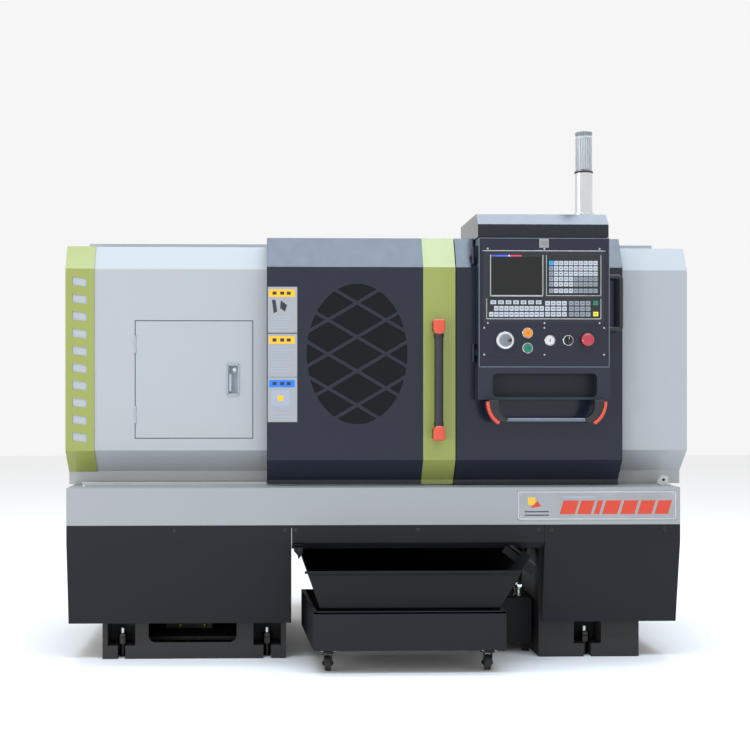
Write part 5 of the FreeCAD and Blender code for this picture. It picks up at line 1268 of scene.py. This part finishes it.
# %% Feed screw
screw_low, screw_high = span("z_screw")
screw_radius = (screw_high.z - screw_low.z) / 2.0
screw_start = Vector((screw_low.x, (screw_low.y + screw_high.y) / 2.0, (screw_low.z + screw_high.z) / 2.0))
screw_length = screw_high.x - screw_low.x
lead = 10.0
plain_end = 60.0
core = screw_radius - 2.6
feed_screw = Piece("feed_screw_thread", "z_screw", "machined_steel")
feed_screw.turned([(0.0, 0.0), (screw_radius, 0.0), (screw_radius, plain_end), (core, plain_end + 3.0),
                   (core, screw_length - plain_end - 3.0), (screw_radius, screw_length - plain_end),
                   (screw_radius, screw_length), (0.0, screw_length)], screw_start, "x", turned_steel, 32)
thread = bmesh.new()
section = [(core - 0.3, 0.0), (screw_radius - 0.1, 2.2), (screw_radius - 0.1, 5.8), (core - 0.3, 8.0)]
corners = [thread.verts.new((radius, 0.0, plain_end + reach)) for radius, reach in section]
edges = [thread.edges.new(pair) for pair in zip(corners, corners[1:])]
turns = int((screw_length - 2.0 * plain_end - 8.0) / lead)
steps = turns * 24
bmesh.ops.spin(thread, geom=corners + edges, axis=(0, 0, 1), cent=(0, 0, 0),
               dvec=(0, 0, turns * lead / steps),
               angle=math.tau * turns, steps=steps)
bmesh.ops.recalc_face_normals(thread, faces=thread.faces)
lay_down = DIRECTIONS["x"].to_track_quat("Z", "Y").to_matrix().to_4x4()
bmesh.ops.transform(thread, matrix=Matrix.Translation(screw_start) @ lay_down, verts=thread.verts)
feed_screw.add(thread, ground_steel)
feed_screw.done("z_screw")

# %% Turret
slide_low, slide_high = span("cross_slide")
turret_centre = Vector(((slide_low.x + slide_high.x) / 2.0, (slide_low.y + slide_high.y) / 2.0, slide_high.z))
turret_top = 70.0
turret = Piece("turret_screws", "turret", "machined_steel")
for station in range(4):
    turn = about(turret_centre, "z", 90.0 * station)
    for reach in (34.0, 48.0):
        turret.block_at(turret_centre, (reach - 4.5, -54.0, turret_top),
                        (reach + 4.5, -45.0, turret_top + 13.0), dark_steel, 0.8, 2, turn)
    insert = turret_centre + Vector((88.0, -56.0, 51.5))
    turret.plate([(insert.x - 6.0, insert.y - 4.0), (insert.x + 4.0, insert.y - 4.0),
                  (insert.x + 6.5, insert.y + 6.0),
                  (insert.x - 3.0, insert.y + 6.0)], "z", insert.z, insert.z + 4.0, brass, 0.3, 1, turn)
    turret.turned([(0.0, 0.0), (1.8, 0.0), (1.4, 1.0), (0.0, 1.0)], insert + Vector((0.5, 1.0, 4.0)), "z",
                  dark_steel,
                  12, turn)
handle_root = turret_centre + Vector((0.0, 0.0, turret_top + 9.0))
lift = about(handle_root, "y", -62.0)
turret.turned([(0.0, 18.0), (6.0, 18.0), (5.0, 84.0), (0.0, 84.0)], handle_root, "z", chrome, 24, lift)
turret.turned([(0.0, 82.0), (6.0, 83.0), (11.0, 89.0), (12.5, 96.0), (11.0, 103.0), (6.0, 108.0),
               (0.0, 109.0)],
              handle_root, "z", black_plastic, 32, lift)
turret.done()

# %% Tailstock
stock_low, stock_high = span("tailstock_body")
stock = Piece("tailstock_clamp", "tailstock", "machined_steel")
clamp = Vector((stock_low.x + 62.0, chuck_face.y, stock_high.z - 6.0))
stock.turned([(0.0, 0.0), (13.0, 0.0), (13.0, 10.0), (9.0, 14.0), (9.0, 24.0), (0.0, 24.0)], clamp, "z",
             satin_aluminium, 32)
lean = about(clamp + Vector((0.0, 0.0, 16.0)), "x", 58.0)
stock.turned([(0.0, 0.0), (5.0, 0.0), (4.2, 62.0), (0.0, 62.0)], clamp + Vector((0.0, 0.0, 16.0)), "z",
             chrome, 24,
             lean)
stock.turned([(0.0, 60.0), (6.0, 61.0), (10.0, 67.0), (11.0, 72.0), (9.0, 79.0), (0.0, 82.0)],
             clamp + Vector((0.0, 0.0, 16.0)), "z", black_plastic, 32, lean)
for x in (stock_low.x + 30.0, stock_high.x - 40.0):
    stock.turned([(0.0, 0.0), (11.0, 0.0), (11.0, 8.0), (9.5, 9.5), (0.0, 9.5)],
                 (x, chuck_face.y - 108.0, span("bed")[1].z + 48.0), "z", dark_steel, 6)
stock.done()

# %% Coolant nozzle
nozzle = Piece("coolant_nozzle", "cross_slide", "belt_rubber")
root = Vector((slide_high.x - 14.0, slide_high.y - 16.0, slide_high.z))
nozzle.turned([(0.0, 0.0), (11.0, 0.0), (11.0, 12.0), (7.0, 16.0), (0.0, 16.0)], root, "z", zinc_plate, 6)
for joint in range(9):
    part = joint / 8.0
    spot = root + Vector((-46.0 * part * part, 6.0 * part, 16.0 + 96.0 * part - 22.0 * part ** 3))
    nozzle.turned([(0.0, 0.0), (6.0, 0.0), (8.4, 4.0), (8.4, 8.0), (6.4, 12.0), (0.0, 12.0)], spot, "z",
                  orange_plastic, 24, about(spot, "y", -70.0 * part))
nozzle.done()

# %% [markdown]
# ## The back of the machine
# The electrical cabinet has an isolator switch on its left side and louvres on its right one, and
# the rear cover is held by a row of screws.

# %% Cabinet and rear cover
case_low, case_high = span("electrical_cabinet")
rear_cover_low, rear_cover_high = span("rear_cover")
back_fittings = Piece("cabinet_fittings", "machine", "black_plastic")
switch_spot = Vector((case_low.x, (case_low.y + case_high.y) / 2.0, case_high.z - 150.0))
back_fittings.block_at(switch_spot, (-5.0, -42.0, -42.0), (0.0, 42.0, 42.0), yellow_plastic,
                    1.6, 3)
back_fittings.turned([(0.0, 0.0), (30.0, 0.0), (29.0, 9.0), (27.0, 11.0), (0.0, 11.0)],
                     switch_spot + Vector((-5.0, 0.0, 0.0)), "-x", red_plastic, 40)
back_fittings.block_at(switch_spot, (-32.0, -8.0, -27.0), (-14.0, 8.0, 27.0), red_plastic,
                    3.0, 3)
louvre_y = (case_low.y + 36.0, case_high.y - 40.0)
for louvre in range(12):
    height = case_low.z + 90.0 + louvre * 18.0
    hinge_spot = Vector((case_high.x, louvre_y[0], height))
    back_fittings.block(hinge_spot + Vector((-0.6, 0.0, 0.0)),
                        Vector((case_high.x + 1.2, louvre_y[1], height + 14.0)),
                        pale_paint, 0.4, 1, about(hinge_spot, "y", 22.0))
fan_spot = Vector((case_high.x, (louvre_y[0] + louvre_y[1]) / 2.0, case_high.z - 170.0))
back_fittings.turned([(58.0, 0.0), (62.0, 0.0), (62.0, 5.0), (58.0, 5.0), (58.0, 0.0)], fan_spot, "x",
                     black_plastic, 48)
for ring_radius in (12.0, 24.0, 36.0, 48.0):
    back_fittings.turned([(ring_radius - 1.2, 2.0), (ring_radius + 1.2, 2.0), (ring_radius + 1.2, 4.4),
                          (ring_radius - 1.2, 4.4), (ring_radius - 1.2, 2.0)], fan_spot, "x", zinc_plate, 48)
for spoke in range(4):
    back_fittings.block_at(fan_spot, (0.5, -1.4, 8.0), (3.0, 1.4, 60.0), zinc_plate, 0.3, 1,
                        about(fan_spot, "x", 90.0 * spoke + 45.0))
screw_xs = [-1080.0 + 150.0 * number for number in range(4)] + [400.0 + 145.0 * number for number in range(5)]
for x in screw_xs:
    for height in (rear_cover_low.z + 22.0, rear_cover_high.z - 22.0):
        back_fittings.screw(x, rear_cover_high.y, height, 5.0, zinc_plate, "y")
back_fittings.done()

# %% [markdown]
# ## Floor, light and camera
# A pale floor and a soft room let the paint speak. Two cool panels hang over the machine: a long thin
# one in front brightens what leans back, so the upper slopes of the covers read lighter than their
# faces, and a wide one overhead lights the tops. Two weak lamps on the left fill the sides and the foot.

# %% Floor
def stage_floor():
    floor_mesh = bmesh.new()
    bmesh.ops.create_grid(floor_mesh, x_segments=1, y_segments=1, size=14.0)
    mesh = bpy.data.meshes.new("studio_floor")
    floor_mesh.to_mesh(mesh)
    floor_mesh.free()
    floor = bpy.data.objects.new("studio_floor", mesh)
    bpy.context.scene.collection.objects.link(floor)
    paper = Finish("floor_paper", srgb(244, 244, 244), 0.85)
    tint = paper.noise(0.6, 2.0)
    paper.set("Base Color", paper.mix(tint, paper.shade(0.98), paper.shade(1.0)))
    mesh.materials.append(paper.material)


stage_floor()

# %% Lights
def area_light(name, place, target, size, power, colour=(1.0, 1.0, 1.0)):
    light = bpy.data.lights.new(name, "AREA")
    light.shape = "RECTANGLE"
    light.size, light.size_y = size
    light.energy = power
    light.color = colour
    lamp = bpy.data.objects.new(name, light)
    bpy.context.scene.collection.objects.link(lamp)
    lamp.location = place
    lamp.rotation_euler = (Vector(target) - Vector(place)).to_track_quat("-Z", "Y").to_euler()
    return lamp


area_light("slope_panel", (0.0, -2.80, 5.24), (0.0, -0.38, 1.38), (6.5, 0.7), 200.0, (0.68, 0.83, 1.0))
area_light("overhead_panel", (0.2, 0.12, 4.9), (0.2, -0.44, 1.49), (5.0, 1.0), 170.0, (0.72, 0.85, 1.0))
area_light("left_fill", (-6.0, -1.6, 2.2), (0.3, -0.2, 1.2), (3.0, 2.0), 50.0, (1.0, 0.97, 0.93))
area_light("low_fill", (-3.4, -4.4, 0.5), (0.1, 0.0, 0.36), (0.8, 0.5), 40.0)
world = bpy.data.worlds.new("studio")
world.use_nodes = True
backdrop = world.node_tree.nodes["Background"]
backdrop.inputs["Color"].default_value = (1.0, 1.0, 1.0, 1.0)
backdrop.inputs["Strength"].default_value = 0.92
bpy.context.scene.world = world

# %% Camera
eye_height = 0.896
eye_distance = 4.66
eye_left = 0.4206
turned_right = 1.5
camera_data = bpy.data.cameras.new("viewpoint")
camera_data.sensor_width = 36.0
camera_data.lens = 60.25
camera_data.shift_x = 0.099
camera_data.shift_y = 0.027
camera = bpy.data.objects.new("viewpoint", camera_data)
bpy.context.scene.collection.objects.link(camera)
camera.location = (-eye_left, -eye_distance, eye_height)
camera.rotation_euler = (math.radians(90.0), 0.0, math.radians(-turned_right))
bpy.context.scene.camera = camera
bpy.context.scene.view_settings.view_transform = "Standard"
